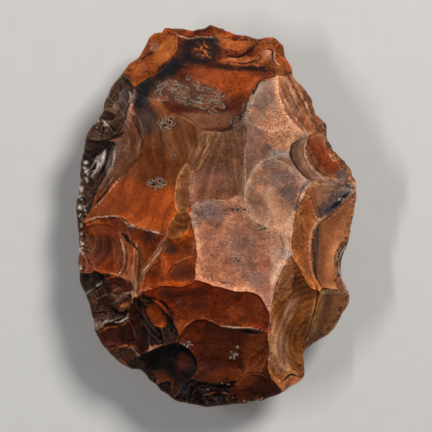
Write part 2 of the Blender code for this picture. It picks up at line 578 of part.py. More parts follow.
def hand_axe_mesh():
    """The whole axe as one closed mesh, in metres."""
    rim = smooth_loop(PLAN, EDGE_SPACING)
    upper_loops = [smooth_loop(scar.outline, EDGE_SPACING) for scar in UPPER_SCARS]
    lower_loops = [smooth_loop(scar.outline, EDGE_SPACING) for scar in lower_scars(rim)]
    lower_loops.append(smooth_loop(sole_outline(), EDGE_SPACING))

    rim_height = both_faces(rim, rim)[0]
    vertices = [(x, y, z) for (x, y), z in zip(rim, rim_height)]
    faces = []
    for side, loops in enumerate((upper_loops, lower_loops)):
        plan, corners, place_in_rim = face_network(rim, loops).triangles()
        height = both_faces(plan, rim)[side]
        numbers = []
        for index, (x, y) in enumerate(plan):
            if index in place_in_rim:
                numbers.append(place_in_rim[index])
                continue
            numbers.append(len(vertices))
            vertices.append((x, y, height[index]))
        for face in corners:
            loop = [numbers[corner] for corner in face]
            faces.append(loop[::-1] if side == 1 else loop)

    mesh = bpy.data.meshes.new("hand_axe")
    centre_x, centre_y = 0.5 * (rim.min(axis=0) + rim.max(axis=0))
    placed = [((x - centre_x) * MM, (y - centre_y) * MM, (z + LOWER_DEPTH) * MM)
              for x, y, z in vertices]
    mesh.from_pydata(placed, [], faces)
    mesh.validate()
    return mesh


def flint_material():
    material = bpy.data.materials.new("flint")
    material.use_nodes = True
    shader = material.node_tree.nodes["Principled BSDF"]
    shader.inputs["Base Color"].default_value = FLINT_COLOUR
    shader.inputs["Roughness"].default_value = FLINT_ROUGHNESS
    shader.inputs["Metallic"].default_value = 0.0
    return material


def main():
    for old in list(bpy.data.objects):
        bpy.data.objects.remove(old, do_unlink=True)
    mesh = hand_axe_mesh()
    mesh.shade_smooth()
    mesh.set_sharp_from_angle(angle=math.radians(SHARP_ANGLE))
    mesh.materials.append(flint_material())
    axe = bpy.data.objects.new("hand_axe", mesh)
    bpy.context.scene.collection.objects.link(axe)


main()
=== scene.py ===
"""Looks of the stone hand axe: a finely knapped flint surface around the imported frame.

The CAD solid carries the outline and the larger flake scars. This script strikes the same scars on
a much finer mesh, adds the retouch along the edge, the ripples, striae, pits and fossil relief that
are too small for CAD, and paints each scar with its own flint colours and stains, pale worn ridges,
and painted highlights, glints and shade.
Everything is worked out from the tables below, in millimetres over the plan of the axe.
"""

import math
from collections import namedtuple

import bpy
import numpy as np
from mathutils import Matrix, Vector
from mathutils.geometry import delaunay_2d_cdt


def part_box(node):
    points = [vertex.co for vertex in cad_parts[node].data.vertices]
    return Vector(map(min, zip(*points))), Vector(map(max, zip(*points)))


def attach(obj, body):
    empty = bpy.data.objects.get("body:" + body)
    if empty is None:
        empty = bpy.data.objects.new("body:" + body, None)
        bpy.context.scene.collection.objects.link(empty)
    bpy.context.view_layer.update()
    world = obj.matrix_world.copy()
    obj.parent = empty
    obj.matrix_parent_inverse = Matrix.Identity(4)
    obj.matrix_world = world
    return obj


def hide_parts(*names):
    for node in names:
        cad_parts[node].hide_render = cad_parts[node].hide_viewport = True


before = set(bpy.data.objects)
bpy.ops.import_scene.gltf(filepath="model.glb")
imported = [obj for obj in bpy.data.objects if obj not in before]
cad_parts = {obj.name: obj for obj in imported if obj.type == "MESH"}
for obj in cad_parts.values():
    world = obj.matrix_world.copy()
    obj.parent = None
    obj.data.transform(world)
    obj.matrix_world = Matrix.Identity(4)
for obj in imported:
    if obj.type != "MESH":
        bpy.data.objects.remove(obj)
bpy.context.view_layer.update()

# ---------------------------------------------------------------- sizes (millimetres)
MM = 0.001                    # metres in a millimetre
LOWER_DEPTH = 19.0            # from the middle of the cutting edge down to the ground
SOLE_LENGTH = 24.0            # flat remnant on the underside, along Y
SOLE_BREADTH = 32.0           # and across X
SOLE_CENTRE = (0.5, -3.0)
EDGE_WAVE = 0.9               # how far the cutting edge wanders up and down
EDGE_FALL = 0.62              # slope of both rough-out faces just outside the edge
FLOOR_FLATNESS = 0.66         # below 1 a scar has a flatter floor and steeper sides
PROBE_SPACING = 0.9           # distance between the heights read along a scar's outline
WELD_REACH = 7.0              # how far in the faces bend to meet at the cutting edge
WEDGE = 0.55                  # least thickness near the cutting edge, per millimetre inside it
WEDGE_REACH = 16.0            # how far in that least thickness matters
SOLE_STEP = 0.35              # how far the rest of the underside stays above the flat sole
UPPER_SPACING = 0.38          # distance between mesh points on the upper face
LOWER_SPACING = 0.80          # and on the underside
DETAIL_SPACING = 0.25         # and where fossils and pits need more
GUIDE_SPACING = 1.5           # along the coarse cutting edge that the rough-out is hung from
RIM_NICKS = 0.42              # how far small nicks move the cutting edge in plan
RAGGEDNESS = 0.45             # how far scar outlines wander from their smooth curves
SHARP_ANGLE = 38.0            # degrees above which an edge between facets is drawn sharp
EDGE_RUN_ON = 8.0             # how far past the cutting edge the rough-outs are laid down
LOOP_STEP = 6                 # one in so many points of a loop, where a rough loop will do
BATCH = 8000                  # points handled at once, so that the tables stay small
LINE_ROOM = 0.62              # least room round a new point on a line, as a share of the spacing
FILL_ROOM = 0.72              # and round one between the lines
TIE_REACH = 1.5               # how far a line's end looks for a point to tie to, as such a share
SWELL_ROUNDS = 40             # rounds of averaging that bring out the broad swells and hollows for the painted shade
SEED = 11                     # most noises and random draws add their own number to this

# The cutting edge seen from above, clockwise from the upper left shoulder.
PLAN = [
    (-42.6, 26.0), (-40.0, 30.0), (-37.0, 34.0), (-36.0, 38.0), (-34.3, 42.0), (-31.3, 46.0),
    (-28.4, 50.0), (-25.3, 51.8), (-23.0, 56.0), (-20.3, 60.0), (-17.5, 60.3), (-16.7, 61.5),
    (-13.5, 61.6), (-8.0, 60.9), (-3.5, 61.8), (-2.1, 62.8), (0.0, 62.0), (4.5, 60.2),
    (9.6, 59.0), (15.0, 58.2), (19.0, 58.6), (21.8, 56.2), (22.7, 52.0), (24.6, 49.0),
    (26.0, 44.8), (28.8, 42.0), (31.0, 38.6), (32.3, 34.3), (35.8, 30.3), (36.4, 25.5),
    (38.2, 21.7), (43.0, 16.4), (45.3, 12.2), (45.9, 8.0), (45.3, 2.0), (44.2, -4.0),
    (43.0, -9.5), (41.0, -14.5), (41.1, -20.0), (43.2, -25.0), (43.5, -28.0), (41.2, -32.3),
    (38.8, -36.5), (35.5, -39.7), (31.5, -41.8), (28.9, -44.5), (28.8, -49.0), (28.7, -52.3),
    (25.5, -55.3), (21.5, -57.9), (15.0, -60.3), (5.0, -61.6), (-1.5, -62.4), (-9.0, -61.3),
    (-13.4, -60.2), (-17.0, -57.5), (-21.5, -53.8), (-24.0, -50.9), (-28.5, -49.8),
    (-33.0, -46.6), (-36.5, -42.8), (-39.5, -37.8), (-40.2, -34.0), (-42.0, -27.5),
    (-44.3, -22.0), (-44.9, -14.0), (-45.0, -8.0), (-45.7, 0.0), (-45.9, 4.0), (-44.8, 10.0),
    (-44.4, 16.0), (-43.0, 22.0),
]

# Where the main ridges of the upper face meet: X, Y and height above the middle of the edge.
UPPER_SPOTS = [
    (8, -2, 20.6), (10, 15, 20.0), (-8, 2, 18.6), (-8, 16, 17.6), (-5, 28, 16.0), (4, 27, 16.4),
    (10, 36, 14.6), (16, 43, 12.4), (21, 38, 13.0), (26, 29, 12.6), (30, 25, 10.6), (24, 20, 16.0),
    (31, 11, 12.6), (25, 2, 17.0), (24, -11, 17.2), (19, -20, 17.6), (17, -30, 15.4),
    (6, -23, 18.8), (-7, -20, 18.0), (-13, 50, 7.4), (2, 49, 8.6), (19, 48, 7.4), (-26, 42, 5.6),
    (-19, 38, 10.4), (-28, 36, 6.6), (-33, 25, 6.4), (-23, 26, 11.4), (-22, 8, 13.4),
    (-28, -3, 11.4), (-16, -6, 15.6), (-25, -24, 9.6), (-31, -18, 7.8), (-28, -32, 6.8),
    (-25, -44, 4.6), (-13, -41, 8.8), (-10, -36, 11.6), (0, -36, 14.0), (16, -37, 13.6),
    (18, -52, 5.6), (-9, -53, 4.4), (6, -54, 4.6), (34, -24, 8.2), (34, -1, 9.2), (31, -37, 5.6),
    (29, -22, 11.0),
]

# A scar is the hollow that one flake left: an outline, the depth of the hollow in its middle, how
# much deeper it is towards the point where the flake was struck off, and that strike point.
Scar = namedtuple("Scar", "name depth lean strike outline")


def leaf(start, end, breadth, count=12):
    """Outline of a narrow scar from start to end, round at both and widest past the middle."""
    start = np.array(start, float)
    along = np.array(end, float) - start
    across = np.array((-along[1], along[0])) / np.hypot(*along)
    points = []
    for step in range(count):
        turn = 2 * math.pi * step / count
        travel = 0.5 - 0.5 * math.cos(turn)
        side = 0.5 * breadth * math.sin(turn) * (0.75 + 0.5 * travel)
        points.append(tuple(start + along * travel + across * side))
    return points


# The scars of the upper face, oldest first.
UPPER_SCARS = [
    Scar("left fan", 3.0, 0.3, (-47, 16), [
        (-50, 21), (-40, 25), (-31, 29), (-26, 37), (-19, 43), (-8, 36), (-3.5, 29), (-5.5, 22),
        (-8, 16), (-8.8, 8), (-7.5, 0), (-13, -9), (-28, -9), (-40, -8), (-50, -6), (-53, 6)]),
    Scar("striped flat", 0.7, 0.0, (4, 34), [
        (-8.2, 16), (-6, 22), (-4.5, 29), (4, 31), (9.3, 29), (9.3, 21), (8.6, 14), (8.2, 8),
        (4, 5.4), (-2, 5.6), (-6, 4.6), (-8.6, 2.6), (-8.9, 9)]),
    Scar("lower flat", 0.6, 0.0, (2, -30), [
        (-8.3, 1), (-3, 4.5), (5, 4.8), (12, 0.5), (19, -1), (24, -6), (24, -12), (20, -19),
        (18, -28), (10, -26), (-2, -24), (-9, -21), (-7, -12), (-7.4, -5)]),
    Scar("round flat", 0.5, 0.3, (26, 6), [
        (9.3, 3), (9.6, 9), (12, 14.5), (16, 18), (21, 17.4), (26, 13.6), (29, 9), (26, 2.6),
        (24.4, -3), (19, -3.6), (13, -1.4), (10.4, 0.4)]),
    Scar("upper flat", 0.4, 0.2, (17, 48), [
        (9.5, 31), (10, 36), (12.5, 41), (15, 45.5), (20, 46.5), (22, 41), (22.5, 35), (24, 31),
        (19, 27.5), (13, 28.5)]),
    Scar("right fan", 2.8, 0.2, (34, 30), [
        (20, 48), (20.2, 42), (21, 38), (23, 33), (26, 29), (30, 25.5), (34, 20), (42, 21),
        (44, 28), (38, 38), (32, 47), (27, 54), (22, 54)]),
    Scar("right fan edge", 1.6, 0.2, (34, 40), [
        (22.5, 49), (24.5, 43.5), (27.5, 37.5), (31, 31.5), (35, 25.5), (41, 25), (41, 33),
        (35, 42), (30, 48), (25, 53)]),
    Scar("fossil basin", 3.5, 0.2, (-3, 64), [
        (-19, 37.6), (-14, 33.8), (-8, 30), (-5.5, 27.9), (0, 27), (4, 27.6), (8, 31), (10, 36),
        (12, 40), (14.5, 43.3), (19, 45), (24, 50), (18, 57), (8, 60), (-4, 61), (-15, 60),
        (-23, 52), (-27, 43), (-24, 39)]),
    Scar("tip", 1.7, 0.2, (3, 64), [
        (-14, 50.5), (-8, 49.6), (-2, 49.3), (5, 48.4), (12, 47.8), (19, 47), (24, 50), (27, 58),
        (18, 63), (5, 66), (-6, 67), (-14, 66), (-16, 57)]),
    Scar("tip right", 1.6, 0.2, (20, 61), [
        (12.5, 62), (11.6, 56), (13, 52), (15.5, 49), (18, 46.6), (21, 45.4), (25, 47), (27, 54),
        (23, 62), (17, 64)]),
    Scar("tip crest", 1.2, 0.0, (2, 65), [
        (-13, 59.4), (-9, 58.2), (-5, 58.9), (-1, 58.6), (1.5, 55.5), (6, 53.6), (10.5, 54),
        (13.5, 57), (14.5, 62), (4, 66), (-8, 66), (-13, 65)]),
    Scar("tip left", 2.2, 0.4, (-22, 58), [
        (-12.4, 63), (-12.8, 59), (-13, 55), (-14.4, 52), (-16, 49.5), (-19, 46.6), (-22, 45.3),
        (-24, 43.8), (-27, 42.2), (-32, 42), (-36, 46), (-30, 55), (-23, 62), (-17, 65)]),
    Scar("upper left", 2.1, 0.2, (-38, 35), [
        (-26.4, 42), (-27, 39.5), (-28.2, 35.5), (-29.4, 31), (-31, 27.6), (-34, 24.8), (-39, 23.6),
        (-46, 25), (-47, 33), (-41, 41), (-35, 46), (-29, 45)]),
    Scar("left shoulder", 1.0, 0.3, (-44, 24), [
        (-30, 27.4), (-29, 31.5), (-27.4, 34.4), (-25, 31.4), (-23.6, 27), (-23.8, 22),
        (-25.4, 18.4), (-28.4, 14.6), (-32.4, 11.4), (-37, 9), (-40, 14), (-38, 22), (-33, 25)]),
    Scar("left margin", 2.6, 0.3, (-46, 12), [
        (-49, 26), (-41, 24.8), (-36.5, 24.6), (-33.4, 24), (-32.6, 22.4), (-33.2, 19.6),
        (-34.2, 16.6), (-36.4, 12.6), (-38.4, 8.6), (-40, 4.6), (-42, 0.4), (-49, -3),
        (-54, 11)]),
    Scar("right shell", 2.9, 0.3, (37, 22), [
        (37, 27), (29, 25.6), (25, 24), (23.6, 20), (24.5, 16.8), (27, 13.6), (31, 11.2),
        (35, 11.4), (39, 14), (42, 21)]),
    Scar("right speckled", 2.0, 0.2, (42, 20), [
        (31.5, 27), (29.3, 24.2), (29.1, 21), (30, 18), (31.8, 15.4), (34.4, 13.6), (38, 12.2),
        (44, 11), (50, 14), (47, 21), (41, 26), (36, 29)]),
    Scar("right band", 2.6, 0.1, (38, 2), [
        (31, 10.8), (28, 6.4), (25.7, 2), (24.7, -4), (24.2, -9), (24.6, -12.6), (27, -17.4),
        (29.6, -22.4), (34.5, -25), (38, -18), (37, -8), (38, 1), (36, 9)]),
    Scar("right wing", 1.7, 0.2, (47, 9), [
        (30.4, 10.9), (36, 11.4), (42, 10.7), (48, 11), (50, 7.6), (45.5, 6.9), (41, 4),
        (37.2, 0.8), (34.3, -1.4), (32, 0.6), (30.8, 4), (29.6, 7.6)]),
    Scar("right face", 2.6, 0.3, (46, -6), [
        (49, 10), (45.4, 7.9), (41, 4.2), (37.5, 1), (34.3, -1.2), (32.2, -4.2), (31.2, -8),
        (31.2, -12), (31.8, -17), (32.8, -21), (34.6, -24), (40, -24.4), (45, -23), (50, -13),
        (52, 0)]),
    Scar("right notch", 1.2, 0.2, (43, -14), leaf((45.5, -14.5), (38.6, -14.0), 12.0)),
    Scar("lower right corner", 1.7, 0.2, (42, -32), [
        (33.8, -23.6), (39, -23.8), (44.6, -24.2), (49, -28), (46, -35), (38, -44), (32, -47),
        (29, -42), (30.6, -36), (32.4, -29)]),
    Scar("tan ripple", 3.4, 0.3, (36, -41), [
        (24, -13), (27, -17), (30.3, -22.6), (33.9, -25), (33.2, -28.5), (31.7, -33),
        (30.5, -38), (28.6, -43), (29.5, -48), (33, -56), (25, -61), (19.4, -56), (17.2, -51),
        (16.4, -44), (16.8, -36), (17.1, -31), (18.5, -25.5), (20, -19.5), (22, -15.4)]),
    Scar("tan leaf", 0.3, 0.0, (24, -12), leaf((24.0, -13.4), (21.5, -27.5), 4.4)),
    Scar("lower right shell", 1.0, 0.2, (25, -57), leaf((26.0, -59.0), (23.2, -50.6), 6.6)),
    Scar("lower band", 2.7, 0.1, (-4, -44), [
        (-25, -24.8), (-21.5, -23.8), (-16, -22.3), (-10.5, -22.3), (-7, -20.4), (-3, -21.2),
        (0, -22.3), (6, -23.6), (11, -24.2), (14.5, -26.4), (17, -31), (17.6, -38), (9, -42),
        (-3, -42), (-14, -42), (-21, -36), (-26, -29)]),
    Scar("fold a", 1.3, 0.0, (-26, -25), leaf((-25.2, -25.0), (-12.6, -42.0), 7.0)),
    Scar("fold b", 1.4, 0.0, (-27, -26), leaf((-26.4, -26.2), (-17.6, -43.4), 6.0)),
    Scar("fold c", 1.4, 0.0, (-28, -29), leaf((-27.6, -28.0), (-23.6, -45.0), 6.4)),
    Scar("almond", 0.5, 0.0, (-24, -27), [
        (-22.6, -30.4), (-21.6, -28.8), (-19.8, -28.4), (-17.8, -31), (-16.2, -34),
        (-16.2, -35.7), (-19.4, -35.6), (-21.4, -33.2)]),
    Scar("lower basin", 3.2, 0.2, (1, -60), [
        (-10.4, -36.4), (-8, -34.3), (-4, -33.2), (-1, -34), (1.4, -35.5), (6, -36), (11, -36.2),
        (16, -37.1), (17.4, -42), (17.2, -50), (19, -57), (12, -61), (-2, -62), (-9, -58),
        (-12.4, -47), (-13, -41)]),
    Scar("lower fold", 1.2, 0.0, (13, -53), leaf((16.4, -42.6), (10.4, -52.4), 4.6)),
    Scar("dark scar", 2.7, 0.2, (-18, -58), [
        (-27, -46.5), (-23.6, -44.6), (-19, -42.6), (-13.4, -41.2), (-9.6, -42.2), (-7, -45.6),
        (-5.9, -49), (-7.8, -52.4), (-10, -57), (-12.6, -64), (-20, -62), (-28, -54), (-30, -50)]),
    Scar("butt left", 1.6, 0.1, (-4, -65), [
        (-13, -60), (-11, -55.4), (-8.2, -52.8), (-3, -54.2), (3, -54.5), (7.4, -53.6), (9, -58),
        (7, -67), (-3, -68), (-13, -66)]),
    Scar("butt right", 1.8, 0.1, (14, -63), [
        (5.6, -54.8), (10, -51.3), (14, -50.7), (17.6, -52.4), (20, -55), (24, -61), (16, -66),
        (8, -66), (4.6, -59)]),
    Scar("left basin outer", 2.0, 0.2, (-46, -9), [
        (-50, -1), (-44, -2.5), (-40, -0.8), (-31, -0.3), (-28, -2), (-26.2, -4), (-25.6, -10),
        (-27, -16), (-30, -20.5), (-37, -19), (-43, -18.6), (-50, -21), (-54, -10)]),
    Scar("left basin", 2.2, 0.3, (-46, -8), [
        (-48, -3), (-43, -3.6), (-37, -2.2), (-32.6, -4), (-30.2, -9.5), (-30.2, -15),
        (-31.6, -18.6), (-36, -17.8), (-41, -17), (-47, -19), (-52, -11)]),
    Scar("triangle", 1.3, 0.0, (-30, -3), [
        (-28.6, -3.4), (-26.5, -3.2), (-22, -4.2), (-19, -5.6), (-15.6, -6), (-17, -9.2),
        (-18.8, -12.4), (-21, -15.6), (-24, -18.5), (-26, -13), (-27.6, -8)]),
    Scar("column", 1.0, 0.0, (-25, -26), leaf((-25.2, -26.4), (-25.0, -9.0), 2.8)),
    Scar("amber", 2.2, 0.2, (-12, -24), [
        (-15.8, -5.8), (-12.5, -7.6), (-9.6, -4), (-8.2, 0.5), (-7, -5), (-6, -12), (-6.4, -17),
        (-7, -20.2), (-10.5, -22.2), (-16, -22.2), (-21.6, -23.8), (-24, -24), (-23, -19),
        (-20.4, -15.4), (-18.2, -11.6), (-17, -9)]),
    Scar("shell", 1.0, 0.2, (-10, 2), [
        (-9.4, 1.8), (-8, -1.4), (-9.6, -5), (-12.5, -7.4), (-15.6, -6.2), (-14.8, -2.4),
        (-12.4, 1)]),
    Scar("lens", 1.2, 0.2, (-9, 18), [
        (-9, 17), (-7.9, 12), (-8.2, 6), (-9.4, 1.4), (-11.6, 1), (-13.3, 5), (-13, 10.4),
        (-11, 14.8)]),
    Scar("lower left", 2.0, 0.2, (-44, -27), [
        (-49, -22), (-43, -18.7), (-37, -18.4), (-31.6, -19.6), (-27.6, -24.4), (-26.9, -27),
        (-28.3, -30), (-30, -33), (-34, -34.4), (-40, -35.6), (-47, -36), (-51, -28)]),
    Scar("lower left wedge", 1.2, 0.1, (-43, -20), [
        (-47, -19), (-42, -17.6), (-38.6, -17.6), (-36.2, -19.6), (-36.6, -21), (-38.4, -22.4),
        (-40.6, -24.2), (-43.2, -26.4), (-48, -28)]),
    Scar("lower left slope", 0.8, 0.0, (-33, -18), [
        (-36, -19.4), (-31.6, -19.2), (-29.4, -19.8), (-27, -22.6), (-27.2, -24.4),
        (-30.6, -25), (-33.2, -24), (-34.6, -21.6)]),
    Scar("lower left step", 1.6, 0.1, (-34, -30), [
        (-37.4, -30.8), (-33, -30.4), (-30, -31), (-28.2, -30), (-28.2, -32.4), (-30, -34),
        (-34, -35), (-37.6, -36), (-40.4, -34.6), (-40, -32)]),
    Scar("dark red", 1.8, 0.1, (-41, -40), [
        (-43, -35.8), (-38, -35.6), (-34, -34.3), (-30, -33.2), (-27.4, -36), (-26.4, -41.5),
        (-30, -43.2), (-36, -45), (-42, -46), (-46, -40)]),
    Scar("lower left rim", 1.4, 0.2, (-32, -48), [
        (-36, -44), (-30, -42.8), (-26.6, -43.8), (-25.4, -47.4), (-27, -52), (-34, -54),
        (-40, -48)]),
]


# ---------------------------------------------------------------- what each scar looks like
# near and far are the flint's colours at the strike point and at the far end, and tint a third
# colour that clouds them, all as 0-255 sRGB. cloud is the strength of the tint. ripple is the
# height of the conchoidal waves and wave their length; bands is how strongly they show as colour;
# rays is the strength of fine lines fanning out from the strike point. rough is the height of
# the crumpling, steps that of small step fractures and grain that of the finest texture. mottle
# is how much the colours vary, edge how bright the arrises are, gloss goes from 0, dull, to 1,
# wet-looking, and flecks is the strength of small orange-pink clouds.
# Other programs fitted the near and far colours to mean colours of the photo: 90 of the 98 are as
# they were left then, and four more were changed a little. The other four, and the rest of the
# table, were chosen one by one.
Look = namedtuple("Look", "near far tint cloud ripple wave bands rays rough steps grain mottle "
                          "edge gloss flecks")
BROWN, GREY, DARK = (120, 74, 48), (122, 104, 98), (44, 30, 26)
ORANGE, RED = (186, 92, 40), (132, 56, 30)
PLAIN = Look((150, 90, 55), (150, 90, 55), BROWN, 0.4, 0.03, 3.5, 0.06, 0.05, 0.07, 0.0, 0.012,
             0.6, 0.7, 0.5, 0.0)


def look(near, far=None, tint=None, **changes):
    """A look like PLAIN, but with these colours and changes."""
    return PLAIN._replace(near=near, far=far or near, tint=tint or PLAIN.tint, **changes)


LOOKS = {
    "plateau": look((108, 72, 52), (106, 68, 46), GREY, cloud=0.35, ripple=0, rough=0.10,
                    grain=0.03, gloss=0.15, edge=0.05, mottle=0.45, flecks=0.45),
    "left fan": look((122, 52, 12), (104, 50, 16), (112, 64, 36), ripple=0.1, wave=4.6, bands=0.4,
                     rays=0.14, gloss=0.45, mottle=0.45, edge=0.2),
    "striped flat": look((106, 70, 46), (116, 64, 42), (120, 76, 58), rays=0.45, ripple=0,
                         bands=0.1, gloss=0.2, edge=0.05, mottle=0.5),
    "lower flat": look((190, 114, 80), (164, 110, 84), GREY, cloud=0.4, ripple=0, rough=0.08,
                       grain=0.035, gloss=0.15, edge=0.1, mottle=0.45, flecks=0.45),
    "round flat": look((152, 100, 72), (160, 116, 92), GREY, cloud=0.6, ripple=0.02, grain=0.03,
                       gloss=0.15, edge=0.0, mottle=0.45, flecks=0.45),
    "upper flat": look((138, 92, 64), (156, 116, 92), GREY, cloud=0.5, ripple=0.03, grain=0.04,
                       gloss=0.15, edge=0.05, mottle=0.45, flecks=0.45),
    "right fan": look((158, 100, 66), (152, 84, 54), ORANGE, rays=0.2, ripple=0.07, bands=0.2,
                      rough=0.06, grain=0.03, gloss=0.25, mottle=0.2, flecks=0.4, edge=0.3),
    "right fan edge": look((148, 80, 38), (134, 78, 48), RED, rays=0.2, bands=0.2, steps=0.2,
                           rough=0.2, grain=0.03, gloss=0.3, mottle=0.4),
    "fossil basin": look((76, 26, 6), (78, 26, 6), (138, 60, 28), rough=0.12, ripple=0.03,
                         grain=0.02, gloss=0.5, mottle=0.6, edge=0.2),
    "tip": look((100, 34, 8), (86, 30, 6), (110, 52, 28), rough=0.2, steps=0.45, gloss=0.5,
                edge=0.5, mottle=0.9),
    "tip right": look((180, 76, 18), (120, 72, 30), BROWN, rough=0.2, steps=0.15, gloss=0.3),
    "tip crest": look((128, 46, 10), (132, 52, 4), BROWN, rough=0.12, gloss=0.35, mottle=0.8),
    "tip left": look((142, 64, 12), (152, 70, 14), (130, 72, 44), rough=0.16, bands=0.2,
                     gloss=0.4),
    "upper left": look((94, 62, 44), (72, 46, 28), DARK, rough=0.28, steps=0.3, gloss=0.7,
                       mottle=0.9),
    "left shoulder": look((132, 100, 84), (146, 82, 44), BROWN, ripple=0.08, wave=3.6, bands=0.5,
                          gloss=0.6, edge=0.2, mottle=0.4),
    "left margin": look((76, 50, 38), (72, 48, 38), DARK, cloud=0.7, ripple=0.08, wave=2.6,
                        bands=0.3, rough=0.1, gloss=0.8, edge=0.3, mottle=0.5),
    "right shell": look((194, 140, 112), (82, 46, 28), BROWN, ripple=0.06, wave=2.4, bands=0.2,
                        gloss=0.3, mottle=0.3),
    "right speckled": look((78, 26, 6), (206, 136, 84), RED, rough=0.16, grain=0.03, gloss=0.35),
    "right band": look((160, 96, 54), (170, 94, 40), ORANGE, rays=0.12, bands=0.15, rough=0.1,
                       gloss=0.3),
    "right wing": look((156, 144, 132), (230, 154, 104), (104, 88, 82), rough=0.08, bands=0.12,
                       gloss=0.45, mottle=0.5),
    "right face": look((178, 112, 72), (160, 96, 56), (184, 110, 66), ripple=0.04, wave=5.0,
                       bands=0.12, rough=0.05, gloss=0.3, mottle=0.25),
    "right notch": look((108, 46, 18), (170, 112, 76), DARK, rough=0.12, gloss=0.6),
    "lower right corner": look((146, 96, 56), (78, 42, 16), BROWN, ripple=0.05, bands=0.15,
                               gloss=0.35, mottle=0.3),
    "tan ripple": look((148, 86, 32), (156, 84, 42), (132, 84, 52), ripple=0.04, wave=1.8,
                       bands=0.45, rough=0.04, gloss=0.35, mottle=0.35, edge=0.5),
    "tan leaf": look((184, 122, 82), (186, 110, 56), BROWN, bands=0.4, rays=0.1, gloss=0.35,
                     edge=0.1, mottle=0.2, wave=1.5),
    "lower right shell": look((150, 86, 50), (224, 140, 82), BROWN, ripple=0.07, wave=1.8,
                              gloss=0.35),
    "lower band": look((124, 50, 12), (150, 44, 6), (54, 22, 12), cloud=0.65, rough=0.12,
                       grain=0.02, gloss=0.6, edge=0.4, mottle=0.8, steps=0.1, bands=0.2),
    "fold a": look((72, 28, 6), (32, 8, 4), DARK, rough=0.1, bands=0.2, gloss=0.85),
    "almond": look((136, 56, 10), (188, 86, 16), rays=0.12, gloss=0.75),
    "fold b": look((42, 12, 4), (18, 4, 4), DARK, rough=0.12, steps=0.2, gloss=0.85),
    "fold c": look((58, 16, 4), (52, 14, 4), DARK, rough=0.14, steps=0.25, gloss=0.85),
    "lower basin": look((44, 12, 4), (104, 36, 6), (84, 32, 12), rough=0.08, ripple=0.04,
                        gloss=0.75, mottle=0.7, bands=0.25),
    "lower fold": look((150, 62, 20), (140, 60, 18), gloss=0.7, edge=0.0),
    "dark scar": look((20, 4, 4), (4, 4, 4), (88, 40, 18), rough=0.12, ripple=0.08, bands=0.2,
                      gloss=0.6),
    "butt left": look((24, 6, 4), (14, 4, 4), DARK, rough=0.25, steps=0.5, gloss=0.8),
    "butt right": look((26, 8, 4), (86, 28, 4), DARK, rough=0.1, gloss=0.75, edge=0.15,
                       mottle=0.8),
    "left basin outer": look((116, 40, 8), (138, 54, 16), BROWN, ripple=0.08, wave=3.0, bands=0.4,
                             gloss=0.5),
    "left basin": look((80, 40, 18), (158, 60, 18), BROWN, ripple=0.09, wave=3.0, bands=0.32,
                       gloss=0.75, edge=0.5),
    "triangle": look((106, 44, 10), (156, 64, 10), DARK, rough=0.12, gloss=0.35),
    "column": look((154, 90, 52), (170, 102, 60), (110, 60, 34), rough=0.1, steps=0.0, gloss=0.5,
                   edge=0.3, mottle=0.5),
    "amber": look((180, 74, 14), (194, 86, 20), (90, 44, 24), cloud=0.6, rough=0.1, gloss=0.6),
    "shell": look((164, 92, 42), (146, 76, 32), BROWN, ripple=0.05, wave=2.2, bands=0.25,
                  gloss=0.4, edge=0.25),
    "lens": look((190, 124, 86), (172, 110, 64), BROWN, ripple=0.05, wave=4.0, bands=0.15,
                 gloss=0.4, edge=0.15),
    "lower left": look((16, 4, 4), (88, 48, 26), DARK, rough=0.35, steps=0.5, gloss=0.8,
                       mottle=1.2),
    "lower left step": look((102, 56, 36), (30, 8, 4), DARK, rough=0.3, steps=0.5, gloss=0.85,
                            mottle=1.2),
    "lower left wedge": look((38, 38, 28), (52, 26, 12), DARK, rough=0.2, steps=0.3, gloss=0.8),
    "lower left slope": look((96, 28, 6), (120, 50, 10), DARK, rough=0.15, gloss=0.7),
    "dark red": look((46, 14, 6), (60, 18, 4), RED, rough=0.14, gloss=0.8),
    "lower left rim": look((48, 12, 4), (4, 4, 4), rough=0.12, gloss=0.8),
}

